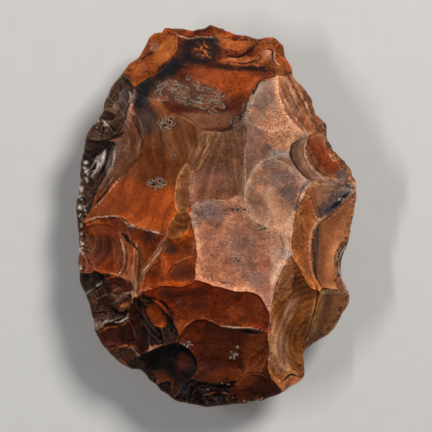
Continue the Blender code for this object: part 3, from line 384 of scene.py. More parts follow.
# Patches of another colour: middle, half length, half width, turn in degrees, colour, strength,
# and the scars that it keeps to (none named means all of them).
Patch = namedtuple("Patch", "middle size turn colour strength scars")
PATCHES = [
    Patch((6, -52), (9, 2.4), 0, (112, 48, 16), 0.5, ("lower basin",)),
    Patch((13, -20), (4, 2.4), 20, (150, 118, 108), 0.5, ("lower flat",)),
    # Painted sheen on the upper left facet.
    Patch((-30.6, 37.6), (2.2, 4.6), -20, (124, 110, 104), 0.55, ("upper left",)),
    Patch((19, 31), (5.4, 6), 10, (214, 158, 126), 0.45, ("upper flat", "plateau")),
    Patch((18, 4), (2.2, 7), 8, (222, 164, 128), 0.55, ("round flat", "lower flat", "plateau")),
    Patch((21.4, 13.4), (2.6, 1.8), 30, (118, 96, 92), 0.55, ("round flat", "plateau")),
    Patch((24, 7.4), (1.6, 2.4), 0, (104, 84, 80), 0.55, ("round flat", "plateau")),
    Patch((31, 6), (2.6, 4), -30, (200, 120, 78), 0.6, ("right wing",)),
    # Painted light on the wall of the right band that faces the light.
    Patch((29.4, -4), (1.2, 9), 0, (214, 122, 66), 0.5, ("right band",)),
    Patch((25, 39.6), (2.0, 6), 22, (218, 154, 120), 0.6, ("right fan",)),
    Patch((37, -15), (1.8, 6), -4, (196, 116, 70), 0.4, ("right face",)),
    Patch((9.6, -54), (3.4, 2), 20, (126, 56, 20), 0.6, ("butt right",)),
    Patch((18, -56.4), (4, 2.4), -20, (48, 22, 10), 0.6, ("butt right",)),
    Patch((-9, -24.6), (6, 1.4), 4, (66, 28, 14), 0.55, ("lower band",)),
    Patch((3, -27), (2.4, 1.6), 0, (150, 62, 22), 0.5, ("lower band",)),
    Patch((13.6, -30), (1.6, 5), 18, (176, 84, 36), 0.55, ("lower band",)),
    Patch((-9, -50), (3, 3.6), 0, (60, 26, 12), 0.5, ("lower basin",)),
    Patch((4, -51), (4, 1.6), 0, (124, 50, 16), 0.5, ("lower basin",)),
    Patch((-16.6, 54), (2.6, 5.4), -32, (208, 118, 56), 0.6, ("tip left",)),
    Patch((-24, 48), (3.4, 1.6), 30, (200, 108, 52), 0.5, ("tip left",)),
    Patch((28.6, 36), (1.2, 6), 26, (124, 70, 46), 0.6, ("right fan", "right fan edge")),
    Patch((30, 30.6), (1.6, 4), 34, (200, 116, 78), 0.6, ("right fan", "right fan edge")),
    Patch((35.4, 19.4), (3.4, 8.6), 38, (150, 58, 22), 0.85, ("right speckled",)),
    # Painted glint on the upper left facet.
    Patch((-35.6, 39), (1.4, 1.6), 0, (190, 162, 152), 0.55, ("upper left",)),
    Patch((-33, 32), (3, 2), 40, (112, 80, 60), 0.5, ("upper left",)),
    Patch((-38, 28.4), (3, 2), 30, (96, 80, 72), 0.5, ("upper left",)),
    # Painted glint on the glossy left margin.
    Patch((-42.6, 14.8), (1.1, 2.2), -20, (186, 170, 160), 0.55, ("left margin",)),
    Patch((-43.4, 4), (1.2, 3), 10, (150, 122, 106), 0.55, ("left margin",)),
    Patch((-43.8, -12), (1.2, 3), 0, (120, 100, 92), 0.55, ("left basin", "left margin")),
    Patch((-43.4, -18), (1.4, 2), 0, (104, 90, 84), 0.55, ("left basin", "lower left")),
    Patch((-35, -33.4), (4, 1.6), 12, (96, 82, 76), 0.5, ("lower left step", "lower left")),
    Patch((-38.6, -35.4), (1.6, 1.4), 0, (170, 150, 138), 0.5, ()),
    Patch((5, -8), (5, 3.4), 20, (150, 112, 102), 0.4, ("lower flat",)),
    Patch((19.4, -14), (1.7, 9), -8, (218, 166, 138), 0.5, ("lower flat",)),
    Patch((39.4, -14), (1.3, 5.4), 0, (170, 108, 72), 0.75, ("right notch",)),
    Patch((-30, -20), (3, 2), -30, (150, 76, 40), 0.5, ("triangle", "left basin outer")),
    Patch((-11.4, -16), (4, 1.2), 62, (104, 56, 40), 0.5, ("amber",)),
    Patch((-38, -4), (5, 3), -10, (176, 84, 34), 0.6, ("left basin outer", "left basin")),
    Patch((-31.5, -12), (1.6, 5), 0, (196, 100, 52), 0.55, ("left basin", "left basin outer")),
    Patch((-40, -13), (2.4, 4), 10, (120, 62, 40), 0.5, ("left basin",)),
    Patch((-14, 26), (11, 6), -30, (128, 80, 50), 0.55, ("left fan",)),
    Patch((-21, 13.4), (11, 5), 14, (150, 76, 36), 0.3, ("left fan",)),
    Patch((-20, 3), (14, 6), -10, (190, 86, 28), 0.7, ("left fan",)),
    Patch((6, 57), (7, 2.6), -8, (204, 110, 52), 0.7, ("tip crest",)),
    Patch((8, 50.6), (6, 1.4), 0, (196, 104, 52), 0.7, ("tip", "tip right")),
    Patch((16.6, 53), (2, 1.8), 0, (196, 124, 92), 0.6, ("tip right",)),
    Patch((-22.6, 52.6), (3.6, 1.0), 38, (104, 56, 30), 0.6, ("tip left",)),
    Patch((-20, 55.6), (1.7, 1.5), 40, (196, 140, 104), 0.4, ("tip left",)),
    Patch((-29, 44.6), (2.2, 1.8), 30, (34, 26, 24), 0.85, ()),
    Patch((-39, 22), (5, 3), 20, (24, 14, 12), 0.8, ("left margin",)),
    Patch((-40, 5), (1.4, 5), -25, (40, 26, 24), 0.75, ("left margin",)),
    Patch((-36.5, -9), (3, 3), 0, (70, 36, 24), 0.6, ("left basin",)),
    Patch((-22.4, -6.6), (2.4, 1.6), 0, (60, 32, 20), 0.7, ("triangle",)),
    Patch((-14.4, -10.6), (1.7, 1.4), 0, (56, 28, 18), 0.8, ("amber",)),
    Patch((-16.4, -16), (1.3, 3.6), 8, (224, 104, 40), 0.75, ("amber",)),
    Patch((-10, -19), (3.4, 2.2), 10, (122, 66, 46), 0.6, ("amber",)),
    Patch((-29.4, -28.7), (1.7, 0.7), 22, (186, 96, 52), 0.8, ("lower left",)),
    Patch((-22.4, -38), (2.6, 2.2), 40, (10, 8, 12), 0.8, ("fold b", "fold c", "fold a")),
    Patch((-14.4, -34), (0.9, 4), 0, (22, 24, 30), 0.7, ("fold a", "fold b", "lower band")),
    # Painted light on the lower left of the tan ripple; painted shade at its top and along its
    # right side.
    Patch((21, -44), (2.8, 9), 8, (218, 156, 114), 0.6, ("tan ripple",)),
    Patch((28, -22), (3.4, 4), 30, (92, 52, 30), 0.6, ("tan ripple",)),
    Patch((30, -35), (1.6, 6), -8, (100, 60, 38), 0.6, ("tan ripple",)),
    Patch((26, 11), (3.2, 4.4), 30, (122, 96, 92), 0.55, ("round flat", "plateau")),
    Patch((19.6, 20), (3, 1.4), 0, (160, 140, 130), 0.6, ("plateau", "round flat")),
    Patch((0, 1), (3.6, 2.4), 0, (140, 112, 108), 0.5, ("lower flat",)),
    Patch((25.6, -54.6), (1.7, 1.1), 30, (210, 126, 72), 0.7, ()),
    Patch((37.4, -8), (2.2, 9), -4, (206, 130, 82), 0.45, ("right face",)),
    Patch((-22, 41), (5.5, 3.6), 40, (18, 20, 24), 0.97, ()),
    Patch((-15.5, 48), (4.5, 2.6), 38, (22, 22, 24), 0.95, ("fossil basin", "tip", "tip left")),
    Patch((-23, 33), (3.6, 5), 10, (54, 42, 38), 0.8, ("left fan", "left shoulder")),
    Patch((12.5, 23), (3.6, 7.2), 0, (138, 94, 80), 0.8, ("plateau",)),
    Patch((4, 43), (9, 5), 0, (196, 88, 34), 0.75, ("fossil basin",)),
    Patch((-4, 46), (6, 3), 0, (186, 88, 40), 0.7, ("fossil basin",)),
    Patch((-2, 31), (12, 3.2), 5, (138, 88, 60), 0.8, ("fossil basin",)),
    Patch((-8, 39.5), (12, 4.2), -14, (158, 116, 92), 0.35, ("fossil basin",)),
    Patch((-6, 54.5), (7, 4.5), 0, (30, 22, 21), 0.95, ("tip", "tip crest")),
    Patch((-1, 57.4), (2.2, 1.6), 0, (34, 26, 24), 0.9, ("tip", "tip crest")),
    Patch((20, 12), (4, 3), 0, (142, 112, 102), 0.5, ()),
    Patch((-2, 2), (4, 3), 0, (140, 112, 102), 0.5, ("lower flat", "plateau")),
    Patch((14, -1.4), (6, 3.4), -20, (176, 122, 94), 0.6, ("round flat", "lower flat", "plateau")),
    Patch((27.4, 14), (2.2, 3.4), 30, (164, 116, 94), 0.5, ("round flat", "plateau")),
    Patch((22.5, 7), (3, 2), 70, (110, 88, 82), 0.6, ()),
    Patch((25, 3), (1.6, 1.2), 60, (60, 50, 48), 0.8, ("round flat", "plateau", "lower flat")),
    Patch((15, 38.6), (4.6, 4), 50, (144, 112, 94), 0.5, ("upper flat",)),
    Patch((16.6, 45.4), (4.4, 1.7), 14, (150, 82, 38), 0.7, ("upper flat",)),
    Patch((20.2, 40), (1.3, 6), 10, (206, 140, 96), 0.6, ("upper flat",)),
    Patch((21, 28), (5, 6), 20, (206, 138, 98), 0.6, ("plateau", "upper flat")),
    Patch((20, -3), (5, 9), 0, (206, 146, 110), 0.5, ("lower flat", "plateau", "round flat")),
    Patch((22, -11.5), (3, 2), 0, (186, 150, 130), 0.6, ("lower flat", "plateau")),
    Patch((8, 12), (18, 4), 0, (150, 108, 90), 0.3, ("striped flat",)),
    Patch((-3, 9), (8, 3), 30, (150, 92, 68), 0.5, ("striped flat",)),
    Patch((-22, 3), (14, 7), -12, (184, 80, 24), 0.85, ("left fan",)),
    Patch((-5, 54.4), (3.2, 2.6), 0, (104, 54, 34), 0.45, ("tip",)),
    # Painted highlight: the broad glint on the glossy left margin, and the streak beside it.
    Patch((-38.2, 17.4), (4.6, 1.3), 60, (206, 196, 190), 0.75, ("left margin",)),
    Patch((-34.4, 17.6), (4.6, 1.1), 74, (150, 132, 122), 0.6, ("left margin", "left shoulder")),
    Patch((-28, -18.6), (1.8, 2.8), 0, (156, 84, 48), 0.7, ()),
    Patch((-33, 4), (8, 4), 30, (140, 70, 34), 0.6, ("left fan",)),
    Patch((-22, 30), (3.5, 4), 0, (86, 62, 52), 0.8, ("left fan", "left shoulder")),
    Patch((-20, 38), (2.2, 4), 20, (150, 84, 54), 0.5, ("left fan", "fossil basin")),
    Patch((38.6, 4.6), (6.5, 3.2), 36, (84, 78, 80), 0.8, ("right wing",)),
    Patch((39, 3.4), (6.4, 1.9), 37, (44, 42, 48), 0.9, ("right wing",)),
    Patch((41.5, 13), (2.6, 2.2), 0, (96, 88, 86), 0.75, ("right speckled",)),
    Patch((34, 7), (3, 3), 0, (176, 116, 84), 0.6, ("right wing",)),
    # Painted light on the right band's wall that faces the light; painted shade on its other wall
    # and on the left wall of the right face.
    Patch((30, 0), (1.2, 9), 0, (186, 96, 40), 0.6, ("right band",)),
    Patch((26.3, -6), (1.0, 5), 5, (128, 90, 60), 0.6, ("right band",)),
    Patch((32.6, -10), (0.9, 8), -4, (84, 70, 62), 0.85, ("right face",)),
    Patch((22, 41), (1.0, 6), 20, (176, 104, 64), 0.5, ("right fan",)),
    Patch((25.4, 36), (1.3, 4), 26, (224, 160, 128), 0.6, ("right fan",)),
    Patch((38, -24.6), (5, 0.9), 0, (188, 148, 110), 0.7, ("lower right corner",)),
    Patch((-10, -13.5), (4, 3), 30, (170, 80, 30), 0.6, ("amber",)),
    Patch((-11, -18), (4, 2.6), 10, (104, 48, 26), 0.7, ("amber",)),
    Patch((-15, -10), (3, 2.6), 0, (84, 50, 30), 0.75, ("amber",)),
    Patch((-36, -10), (4, 4), 0, (92, 44, 26), 0.6, ("left basin",)),
    Patch((-28.8, 32.6), (1.3, 5), -14, (92, 68, 56), 0.7, ("left shoulder", "left fan")),
    Patch((7, -25), (4, 1.4), -8, (66, 28, 12), 0.6, ("lower band",)),
    Patch((6.6, -31), (3, 2.4), 0, (168, 76, 28), 0.5, ("lower band",)),
    # Painted highlight along an arc of the tan ripple.
    Patch((24, -31), (1.6, 5), -24, (206, 156, 124), 0.4, ("tan ripple",)),
    Patch((11, -28), (4, 5), 0, (140, 60, 24), 0.6, ("lower band",)),
    Patch((-14, -25), (4, 2), 0, (74, 34, 18), 0.7, ("lower band",)),
    Patch((-8, -29), (5, 3), 0, (98, 46, 20), 0.5, ("lower band",)),
    Patch((12, -45), (3.4, 6), 0, (138, 66, 22), 0.6, ("lower basin", "lower fold")),
    Patch((2, -41), (6, 4), 0, (88, 38, 16), 0.5, ("lower basin",)),
    Patch((-16, -44), (5, 2), 10, (16, 10, 14), 0.85, ("dark scar",)),
    Patch((-10, -47), (2.4, 2.4), 0, (92, 36, 20), 0.5, ("dark scar",)),
    Patch((-17, -54), (4, 3), -30, (108, 52, 22), 0.7, ("dark scar",)),
    Patch((-10.4, -58), (1.8, 3), 0, (30, 32, 38), 0.8, ("dark scar", "butt left")),
]

# Lines of another colour, raised or sunk a little: for each kind its colour, strength and lift.
STROKE_KINDS = {
    # ridge: pale worn arrises, raised a little, with painted highlight where they face the light.
    "ridge": ((214, 168, 136), 0.6, 0.14),
    "orange ridge": ((196, 104, 56), 0.55, 0.10),
    "orange glow": ((226, 122, 62), 0.6, 0.08),
    # bright: painted glints, small white highlights on raised chips of glossy flint.
    "bright": ((228, 204, 184), 0.7, 0.2),
    "crevice": ((10, 7, 7), 0.95, -0.35),
    # painted shade: dark lines, sunk a little, at the foot of steps and of walls.
    "painted_shade": ((44, 28, 22), 0.85, -0.12),
    "brown line": ((96, 54, 34), 0.6, -0.08),
    "stain": ((18, 18, 20), 0.97, 0.0),
    "vein": ((176, 128, 78), 0.6, 0.0),
    "pale": ((190, 154, 130), 0.35, 0.03),
    # bright tan: painted highlights along lit ridges and ripples.
    "bright tan": ((220, 166, 130), 0.55, 0.05),
}
Stroke = namedtuple("Stroke", "kind width points scars", defaults=((),))
STROKES = [
    # tip
    Stroke("stain", 3.4, [(-11, 51), (-16, 48), (-20, 45), (-24, 41.5), (-26, 37)],
           ("fossil basin", "tip", "left fan")),
    Stroke("painted_shade", 0.9, [(-2, 49.4), (1, 48.8), (5, 48), (10, 47.9), (17.6, 48.4)]),
    Stroke("painted_shade", 0.7, [(3.5, 52.5), (8, 52.2), (10.5, 54), (12, 56), (14.8, 58)]),
    Stroke("orange ridge", 0.6, [(2, 50.8), (5, 51.2), (8, 50.4), (11, 51.2), (14, 52)]),
    Stroke("crevice", 0.3, [(6.6, 50.2), (9.4, 49.8), (12.4, 50.6), (14.6, 51.4), (14.2, 52.6)]),
    Stroke("crevice", 0.35, [(3, 52.4), (7, 52), (10.2, 53.4), (12.6, 55.6), (14.6, 57.8)]),
    Stroke("orange glow", 0.3, [(3, 55.4), (7, 54.6), (9.4, 55.2)]),
    Stroke("brown line", 0.4, [(2, 58.6), (6, 58), (10, 57.8), (13, 58)]),
    Stroke("orange ridge", 0.5, [(9.6, 49.2), (12, 49.6), (14.6, 49)]),
    Stroke("crevice", 0.35, [(15.4, 54.8), (18.3, 54.4), (18.5, 51.4), (19.8, 49)]),
    Stroke("bright tan", 0.45, [(19.2, 53.8), (19.3, 51.2), (20.8, 49)]),
    Stroke("orange glow", 0.35, [(-7.8, 53.4), (-6.6, 54.8), (-5.2, 54.4), (-4.2, 56.2),
                                 (-2.6, 55)]),
    Stroke("orange glow", 0.35, [(-5.4, 54.8), (-3.4, 53.8), (-3, 52.6), (-1.6, 51.6)]),
    Stroke("orange glow", 0.25, [(-6.6, 52.2), (-5.4, 53), (-4, 52.4), (-2.6, 53.4), (-1.6, 53)]),
    Stroke("orange glow", 0.3, [(-4.4, 56), (-3.6, 57.6)]),
    Stroke("orange glow", 0.3, [(-3.6, 53.4), (-4.6, 51.6)]),
    Stroke("painted_shade", 0.7, [(-24.4, 51.4), (-22, 53), (-19.4, 54)]),
    Stroke("brown line", 0.35, [(-24, 45.6), (-23.6, 47), (-22.4, 47.4), (-21.6, 46.4), (-22, 45)]),
    Stroke("ridge", 0.3, [(-12.8, 59.8), (-10.8, 58.8), (-8.5, 58.2), (-6, 58.8), (-0.6, 58.6)]),
    # upper left and left margin
    Stroke("pale", 0.7, [(-26.6, 41.4), (-27.2, 39.6), (-27.9, 37.6), (-28.2, 36)]),
    Stroke("crevice", 1.1, [(-34.4, 25.2), (-31.8, 26.2), (-29.8, 27.2)]),
    Stroke("crevice", 0.6, [(-40.6, 24.4), (-38, 24.2), (-35, 25)]),
    Stroke("bright", 0.4, [(-28.2, 40.4), (-27.6, 38.6), (-28.4, 36.6)]),
    Stroke("bright", 0.35, [(-36.4, 40), (-35.2, 39), (-34.6, 40)]),
    Stroke("bright", 0.35, [(-36.9, 31.2), (-36.1, 30.5), (-35.5, 29.5)]),
    Stroke("pale", 0.4, [(-34.6, 36.6), (-32.2, 35.4), (-30, 33.2), (-29.6, 30.4)]),
    Stroke("pale", 0.4, [(-40.6, 28.4), (-38.6, 27), (-37.4, 28.4), (-35.2, 28)]),
    Stroke("crevice", 0.4, [(-38.6, 30.6), (-37, 29.6), (-36.8, 27.4), (-38.2, 26)]),
    Stroke("crevice", 0.4, [(-34.4, 29.8), (-33.2, 28), (-31.4, 27.8)]),
    Stroke("bright", 0.3, [(-39.8, 25.8), (-38.8, 25.4), (-37.8, 25.8)]),
    Stroke("bright", 0.6, [(-36.2, 21.6), (-37, 18.8), (-38.4, 16), (-40.4, 13.4)]),
    Stroke("bright", 0.35, [(-38.6, 20.2), (-39.8, 17.4), (-41.8, 15)]),
    Stroke("crevice", 0.4, [(-35.6, 21), (-36, 18), (-37.4, 14.6), (-39, 12)]),
    Stroke("bright", 0.3, [(-43.8, 17.2), (-42.8, 16), (-43.4, 15)]),
    Stroke("bright", 0.3, [(-42.8, 12.8), (-41.8, 11.8), (-42.4, 10.8)]),
    Stroke("crevice", 0.4, [(-44.2, 13.8), (-43, 13.6), (-41.6, 14.6)]),
    Stroke("crevice", 0.4, [(-44.8, 6), (-43.4, 5.8), (-42.2, 6.8)]),
    Stroke("crevice", 0.4, [(-45, -0.4), (-43.2, -0.8), (-42, 1)]),
    Stroke("bright", 0.3, [(-45.4, -9.4), (-44.8, -10.6), (-45.2, -12)]),
    Stroke("bright", 0.25, [(-42.4, -10.4), (-41.6, -11.2), (-41, -11.2)]),
    Stroke("crevice", 0.4, [(-44.6, -5), (-43.2, -6.6), (-43, -9)]),
    Stroke("crevice", 0.4, [(-43, -12.6), (-41.8, -14.6), (-42, -17)]),
    Stroke("painted_shade", 0.6, [(-29.4, 35.4), (-27.4, 33.6), (-26.6, 31)]),
    Stroke("pale", 0.4, [(-28.6, 34.6), (-25.6, 32.2), (-24.2, 28.6), (-24.2, 24.6), (-26.4, 20.4),
                         (-29.6, 16.2)], ("left shoulder", "left fan")),
    Stroke("brown line", 0.4, [(-27.8, 32), (-26.2, 28.6), (-26.2, 24.8), (-28.2, 21)]),
    Stroke("pale", 0.3, [(-29.4, 31), (-28, 28), (-28.2, 24.6), (-30, 21)]),
    Stroke("bright", 0.3, [(-44.6, 9.6), (-44, 8.2), (-44.4, 6.6)]),
    Stroke("bright", 0.3, [(-44.6, 4.6), (-43.2, 2.8), (-42.4, 0.6)]),
    Stroke("pale", 0.4, [(-43.6, 16.8), (-42.6, 15), (-43.2, 13.4), (-41.8, 11.6)]),
    Stroke("pale", 0.4, [(-43.4, -12.6), (-42, -14.8), (-42.2, -17.4), (-44, -19)]),
    Stroke("pale", 0.3, [(-45, -9.4), (-43.8, -10.6), (-42, -10)]),
    # A painted glint in the black band.
    Stroke("pale", 0.3, [(-32.8, 25.5), (-31.3, 26.6)]),
    Stroke("bright", 0.4, [(-32.8, 22.8), (-33.3, 19.6), (-33.6, 16.6)]),
    Stroke("pale", 0.5, [(-33.6, 16.6), (-34.8, 14.4), (-37, 11), (-39, 8)]),
    Stroke("painted_shade", 0.3, [(-37.4, 19.4), (-38, 16.6), (-39.8, 13.6)]),
    Stroke("painted_shade", 0.3, [(-40, 17.6), (-40, 15.2), (-41.4, 13)]),
    Stroke("painted_shade", 0.5, [(-35.4, 21.5), (-35.6, 18), (-37, 14.6), (-38.6, 12)]),
    Stroke("ridge", 0.2, [(-31.2, 12.4), (-34.6, 8.4), (-37.6, 4.8), (-39.4, 2.8)]),
    Stroke("ridge", 0.2, [(-33.6, 12.6), (-35.6, 9.6), (-38.4, 6)]),
    Stroke("painted_shade", 0.6, [(-32.6, 12.4), (-36, 8), (-39.4, 4)]),
    Stroke("painted_shade", 0.4, [(-26, 29.6), (-24.1, 25.6), (-24.1, 21.8), (-25.6, 18.6), (-27.8, 15.8)]),
    Stroke("ridge", 0.28, [(-44, -2.5), (-41, -1), (-38, -0.3), (-32, -0.2), (-27.6, -3.2),
                           (-21, -4.8), (-16, -6)]),
    # left basin, the ridges beside it and the amber facet
    # Painted highlight along the rim of the left basin, on a pale ridge.
    Stroke("ridge", 0.35, [(-31.4, -18.8), (-30, -16.6), (-29.7, -13), (-30.3, -9.6), (-32, -5.6)]),
    Stroke("orange ridge", 0.3, [(-28.6, -17.4), (-28.2, -13), (-28.6, -8.6)]),
    Stroke("orange ridge", 0.25, [(-28, -21), (-26.6, -17), (-26.6, -11)]),
    Stroke("orange ridge", 0.3, [(-33, -17), (-33, -13), (-33.8, -8)]),
    Stroke("bright tan", 0.22, [(-25.8, -8.4), (-25.4, -14), (-25.8, -20), (-25.2, -25)]),
    Stroke("bright tan", 0.2, [(-24.5, -12.6), (-24.2, -16), (-24.5, -21), (-24.4, -25.4)]),
    Stroke("brown line", 0.3, [(-25.2, -10), (-24.8, -15), (-25.2, -21)]),
    Stroke("ridge", 0.4, [(-15.6, -6.2), (-17.2, -9.6), (-19.4, -13), (-22.6, -16.8),
                          (-24.3, -19)]),
    Stroke("pale", 0.3, [(-16.8, -6.6), (-18.2, -9.6), (-20.4, -12.8), (-23, -15.8)]),
    Stroke("crevice", 0.9, [(-30.4, -5.6), (-28.4, -7.6), (-25.6, -10.6)]),
    Stroke("ridge", 0.4, [(-23, -24.2), (-22, -22.6), (-21.6, -21.4)]),
    Stroke("orange glow", 0.35, [(-6.8, -12.6), (-10, -13.6), (-12.8, -15.2), (-14.6, -18.6)]),
    Stroke("orange glow", 0.3, [(-16.6, -13), (-16, -15.6), (-16.8, -18.6)]),
    Stroke("painted_shade", 0.4, [(-15.6, -19), (-14.4, -16.6), (-11.6, -14.6)]),
    Stroke("brown line", 0.4, [(-20.4, -16.4), (-18.4, -14.6), (-17.4, -11.4)]),
    # crumpled facets at the lower left
    Stroke("bright", 0.4, [(-43.2, -26), (-40.6, -24), (-38.2, -22.3), (-36.3, -20.4)]),
    Stroke("crevice", 0.6, [(-39.2, -18.8), (-37, -19.6), (-37.4, -22), (-40, -24.6)]),
    Stroke("pale", 0.35, [(-42, -28.4), (-38.6, -27), (-35.4, -25.4), (-32, -26)]),
    Stroke("crevice", 0.5, [(-40.6, -29.6), (-37.2, -28.6), (-34, -29.4)]),
    Stroke("orange ridge", 0.35, [(-35.8, -20.6), (-33.2, -19.6), (-30.4, -19.8), (-28, -22)]),
    Stroke("crevice", 0.5, [(-34.8, -22.4), (-32.4, -21.8), (-30, -23.6)]),
    Stroke("pale", 0.35, [(-33.6, -24.4), (-30.6, -23.2), (-28.4, -24)]),
    Stroke("pale", 0.7, [(-33.2, -28.2), (-30.6, -26), (-28, -24.8), (-27, -24.4)]),
    Stroke("crevice", 0.5, [(-27.6, -26), (-29.4, -27.2), (-31.4, -28.6)]),
    Stroke("crevice", 0.9, [(-38.4, -31.6), (-36, -31), (-33.6, -30.4), (-31, -31.8)]),
    Stroke("bright", 0.28, [(-39.6, -36.2), (-37, -35), (-35.4, -34), (-32, -34.6),
                            (-29, -33), (-28.3, -30.6)]),
    Stroke("bright", 0.25, [(-40.6, -33), (-39.8, -35), (-38.6, -35.8)]),
    Stroke("orange ridge", 0.4, [(-38.4, -38.4), (-35.6, -36.4), (-31, -35.8), (-28.6, -33.8)]),
    Stroke("crevice", 0.7, [(-29.4, -41), (-27.4, -40.2), (-25.4, -40.8)]),
    Stroke("crevice", 0.6, [(-27.8, -33), (-26.4, -36.4), (-24.8, -39.4)]),
    Stroke("orange ridge", 0.3, [(-34.4, -43.6), (-31.6, -42.6), (-28.6, -42)]),
    Stroke("orange ridge", 0.35, [(-31.8, -46.4), (-29.4, -48.4), (-27.4, -49.4)]),
    Stroke("pale", 0.5, [(-40.2, -33), (-39.4, -36), (-37.5, -38.4)]),
    # folds that run down from the end of the ridge
    Stroke("crevice", 0.6, [(-25, -26), (-24.6, -31), (-22.6, -35), (-19.4, -38.6), (-16.4, -41)]),
    Stroke("crevice", 0.7, [(-23.4, -26.6), (-19, -27), (-15.6, -29.8), (-14.6, -34),
                            (-14.2, -39)]),
    Stroke("brown line", 0.4, [(-23.6, -29), (-23.2, -32), (-21, -35.6), (-18, -38.4)]),
    Stroke("orange ridge", 0.6, [(-28, -41.8), (-25.6, -43.2), (-23.4, -44.4), (-21, -42.8),
                                 (-17.6, -41.8)]),
    # lower band and basin
    Stroke("orange ridge", 0.3, [(-10.6, -36), (-8, -34), (-4.4, -33), (-1.4, -33.8),
                                 (1.6, -35.4)]),
    Stroke("ridge", 0.28, [(1.6, -35.5), (6, -35.9), (11, -36.1), (16, -37.1)]),
    Stroke("crevice", 0.8, [(7.5, -37.1), (11, -37.5), (14.5, -37.9)]),
    Stroke("orange ridge", 0.4, [(16, -44), (13.4, -47.4), (11, -50)]),
    Stroke("orange ridge", 0.3, [(5.6, -56.4), (9.6, -52.2), (13.4, -51.2), (17.4, -52.6)]),
    Stroke("bright", 0.2, [(8.6, -60.4), (12, -60.9), (15.4, -59.4)]),
    Stroke("bright", 0.18, [(-6.4, -55.6), (-4, -56.8), (-1.8, -56.4)]),
    Stroke("bright", 0.18, [(2, -54.6), (4.4, -55), (5.6, -54.4)]),
    Stroke("orange ridge", 0.25, [(-4, -58.6), (0, -57.6), (3.6, -58)]),
    Stroke("crevice", 0.4, [(6.8, -55.4), (2.6, -56.4), (-2.4, -55), (-6.6, -54.8)]),
    # right side
    Stroke("painted_shade", 1.0, [(24.2, 24), (23.8, 20), (25.5, 15.6), (29, 12.4)], ("right shell",)),
    Stroke("bright tan", 0.5, [(29.2, 25.4), (28.8, 20.6), (31, 15.6), (34.4, 12.4)]),
    Stroke("bright tan", 0.45, [(19.4, 47.6), (20.4, 42.6), (22.6, 37), (25.6, 32), (29.8, 26.6)]),
    Stroke("bright tan", 0.5, [(24.4, 46), (27.2, 40.6), (29.6, 36), (31.6, 30.8)]),
    Stroke("bright tan", 0.3, [(32.6, 31.4), (34.6, 30.4), (35.4, 28)]),
    Stroke("pale", 0.3, [(44.4, 13), (43.4, 11.8), (44, 10.2)]),
    Stroke("stain", 0.5, [(42.6, 12.6), (42.4, 10.6), (44, 9)]),
    Stroke("brown line", 0.4, [(29.6, 25.4), (30.4, 20.6), (33, 15.4), (36.4, 12.4)]),
    Stroke("painted_shade", 0.35, [(30, 11.4), (28, 9.2), (26.4, 5), (25.2, 0.6)]),
    Stroke("bright tan", 0.3, [(30.6, 10.6), (28.8, 8.6), (27.4, 5), (26.4, 0.6)]),
    Stroke("brown line", 0.5, [(22.4, 44), (24.4, 39), (27.6, 33)]),
    Stroke("painted_shade", 0.45, [(34.4, -1.6), (31.9, -5), (31.2, -10), (31.6, -16), (33, -21.6)]),
    Stroke("bright tan", 0.5, [(33.4, -0.6), (30.9, -5), (30.2, -11), (30.6, -16), (32.2, -21)]),
    Stroke("bright", 0.3, [(42.6, -9.6), (40.6, -13), (40.2, -17), (41.6, -21.4), (43, -25.6)]),
    Stroke("stain", 0.7, [(42.4, -12), (41.6, -15.2), (41.4, -18.4), (42.4, -21)]),
    Stroke("pale", 0.3, [(42.2, -8.4), (40.2, -11.4), (39, -15), (39.4, -19.6)]),
    Stroke("crevice", 0.6, [(36.8, 1.8), (39.4, 4), (41.4, 6), (43.6, 8)]),
    Stroke("crevice", 0.4, [(31.9, -21), (33, -24.6), (32.4, -29), (31, -34.6)]),
    Stroke("bright tan", 0.8, [(27, -26.5), (24.6, -27.4), (23, -29.4), (22.2, -33)]),
    Stroke("bright tan", 0.5, [(24.6, -16), (22, -18.6), (20.4, -22), (19, -26)]),
    Stroke("bright tan", 0.4, [(26, -17.4), (23.6, -20.4), (21, -24), (19.6, -28)]),
    Stroke("bright tan", 0.4, [(22.6, -15.2), (20.6, -19.6), (18.6, -25)]),
    Stroke("bright tan", 0.5, [(21.4, -36), (20.8, -41), (21.4, -46), (22.4, -51)]),
    Stroke("brown line", 0.8, [(18.2, -44), (18.4, -49), (19, -52)], ("tan ripple",)),
    Stroke("bright tan", 0.3, [(18.3, -26.6), (17.6, -32), (17.1, -38), (17.1, -43), (17.4, -48)]),
    Stroke("crevice", 0.4, [(18.4, -53), (20.4, -54.6), (22, -54), (24.6, -51.8), (27.4, -53)]),
    # plateau
    Stroke("stain", 2.0, [(4.6, 28), (7, 31), (9.4, 34.4), (11.2, 37.4)]),
    Stroke("crevice", 0.5, [(10.8, 37), (12.4, 40.4), (14, 43.2), (16.6, 44)]),
    Stroke("brown line", 0.5, [(-18, 37.6), (-13, 34), (-8, 31), (-5.6, 28), (0, 27.2), (5, 28.4)]),
    Stroke("pale", 0.35, [(9, 29), (9.2, 21), (9.4, 12), (9.2, 3)]),
    Stroke("pale", 0.6, [(9.6, 9), (12, 14.5), (16, 18.2), (21, 17.4)]),
    Stroke("vein", 0.8, [(-2.4, 26), (-3, 21), (-6, 15)], ("striped flat", "left fan")),
    Stroke("brown line", 0.5, [(-1.6, -17.6), (-1.2, -21)]),
    Stroke("crevice", 0.35, [(0.6, -20.6), (2.4, -21.4), (4.4, -21.2)]),
    Stroke("pale", 0.4, [(-6.4, -2), (-5.6, -8), (-6.4, -13)]),
    Stroke("pale", 0.35, [(-7.4, -3), (-7, -8), (-7.8, -13.4)]),
    Stroke("pale", 0.5, [(18, -4), (17.4, -10), (18.4, -16)]),
    Stroke("brown line", 0.35, [(20.4, -6), (21.6, -10), (20.4, -13.6)]),
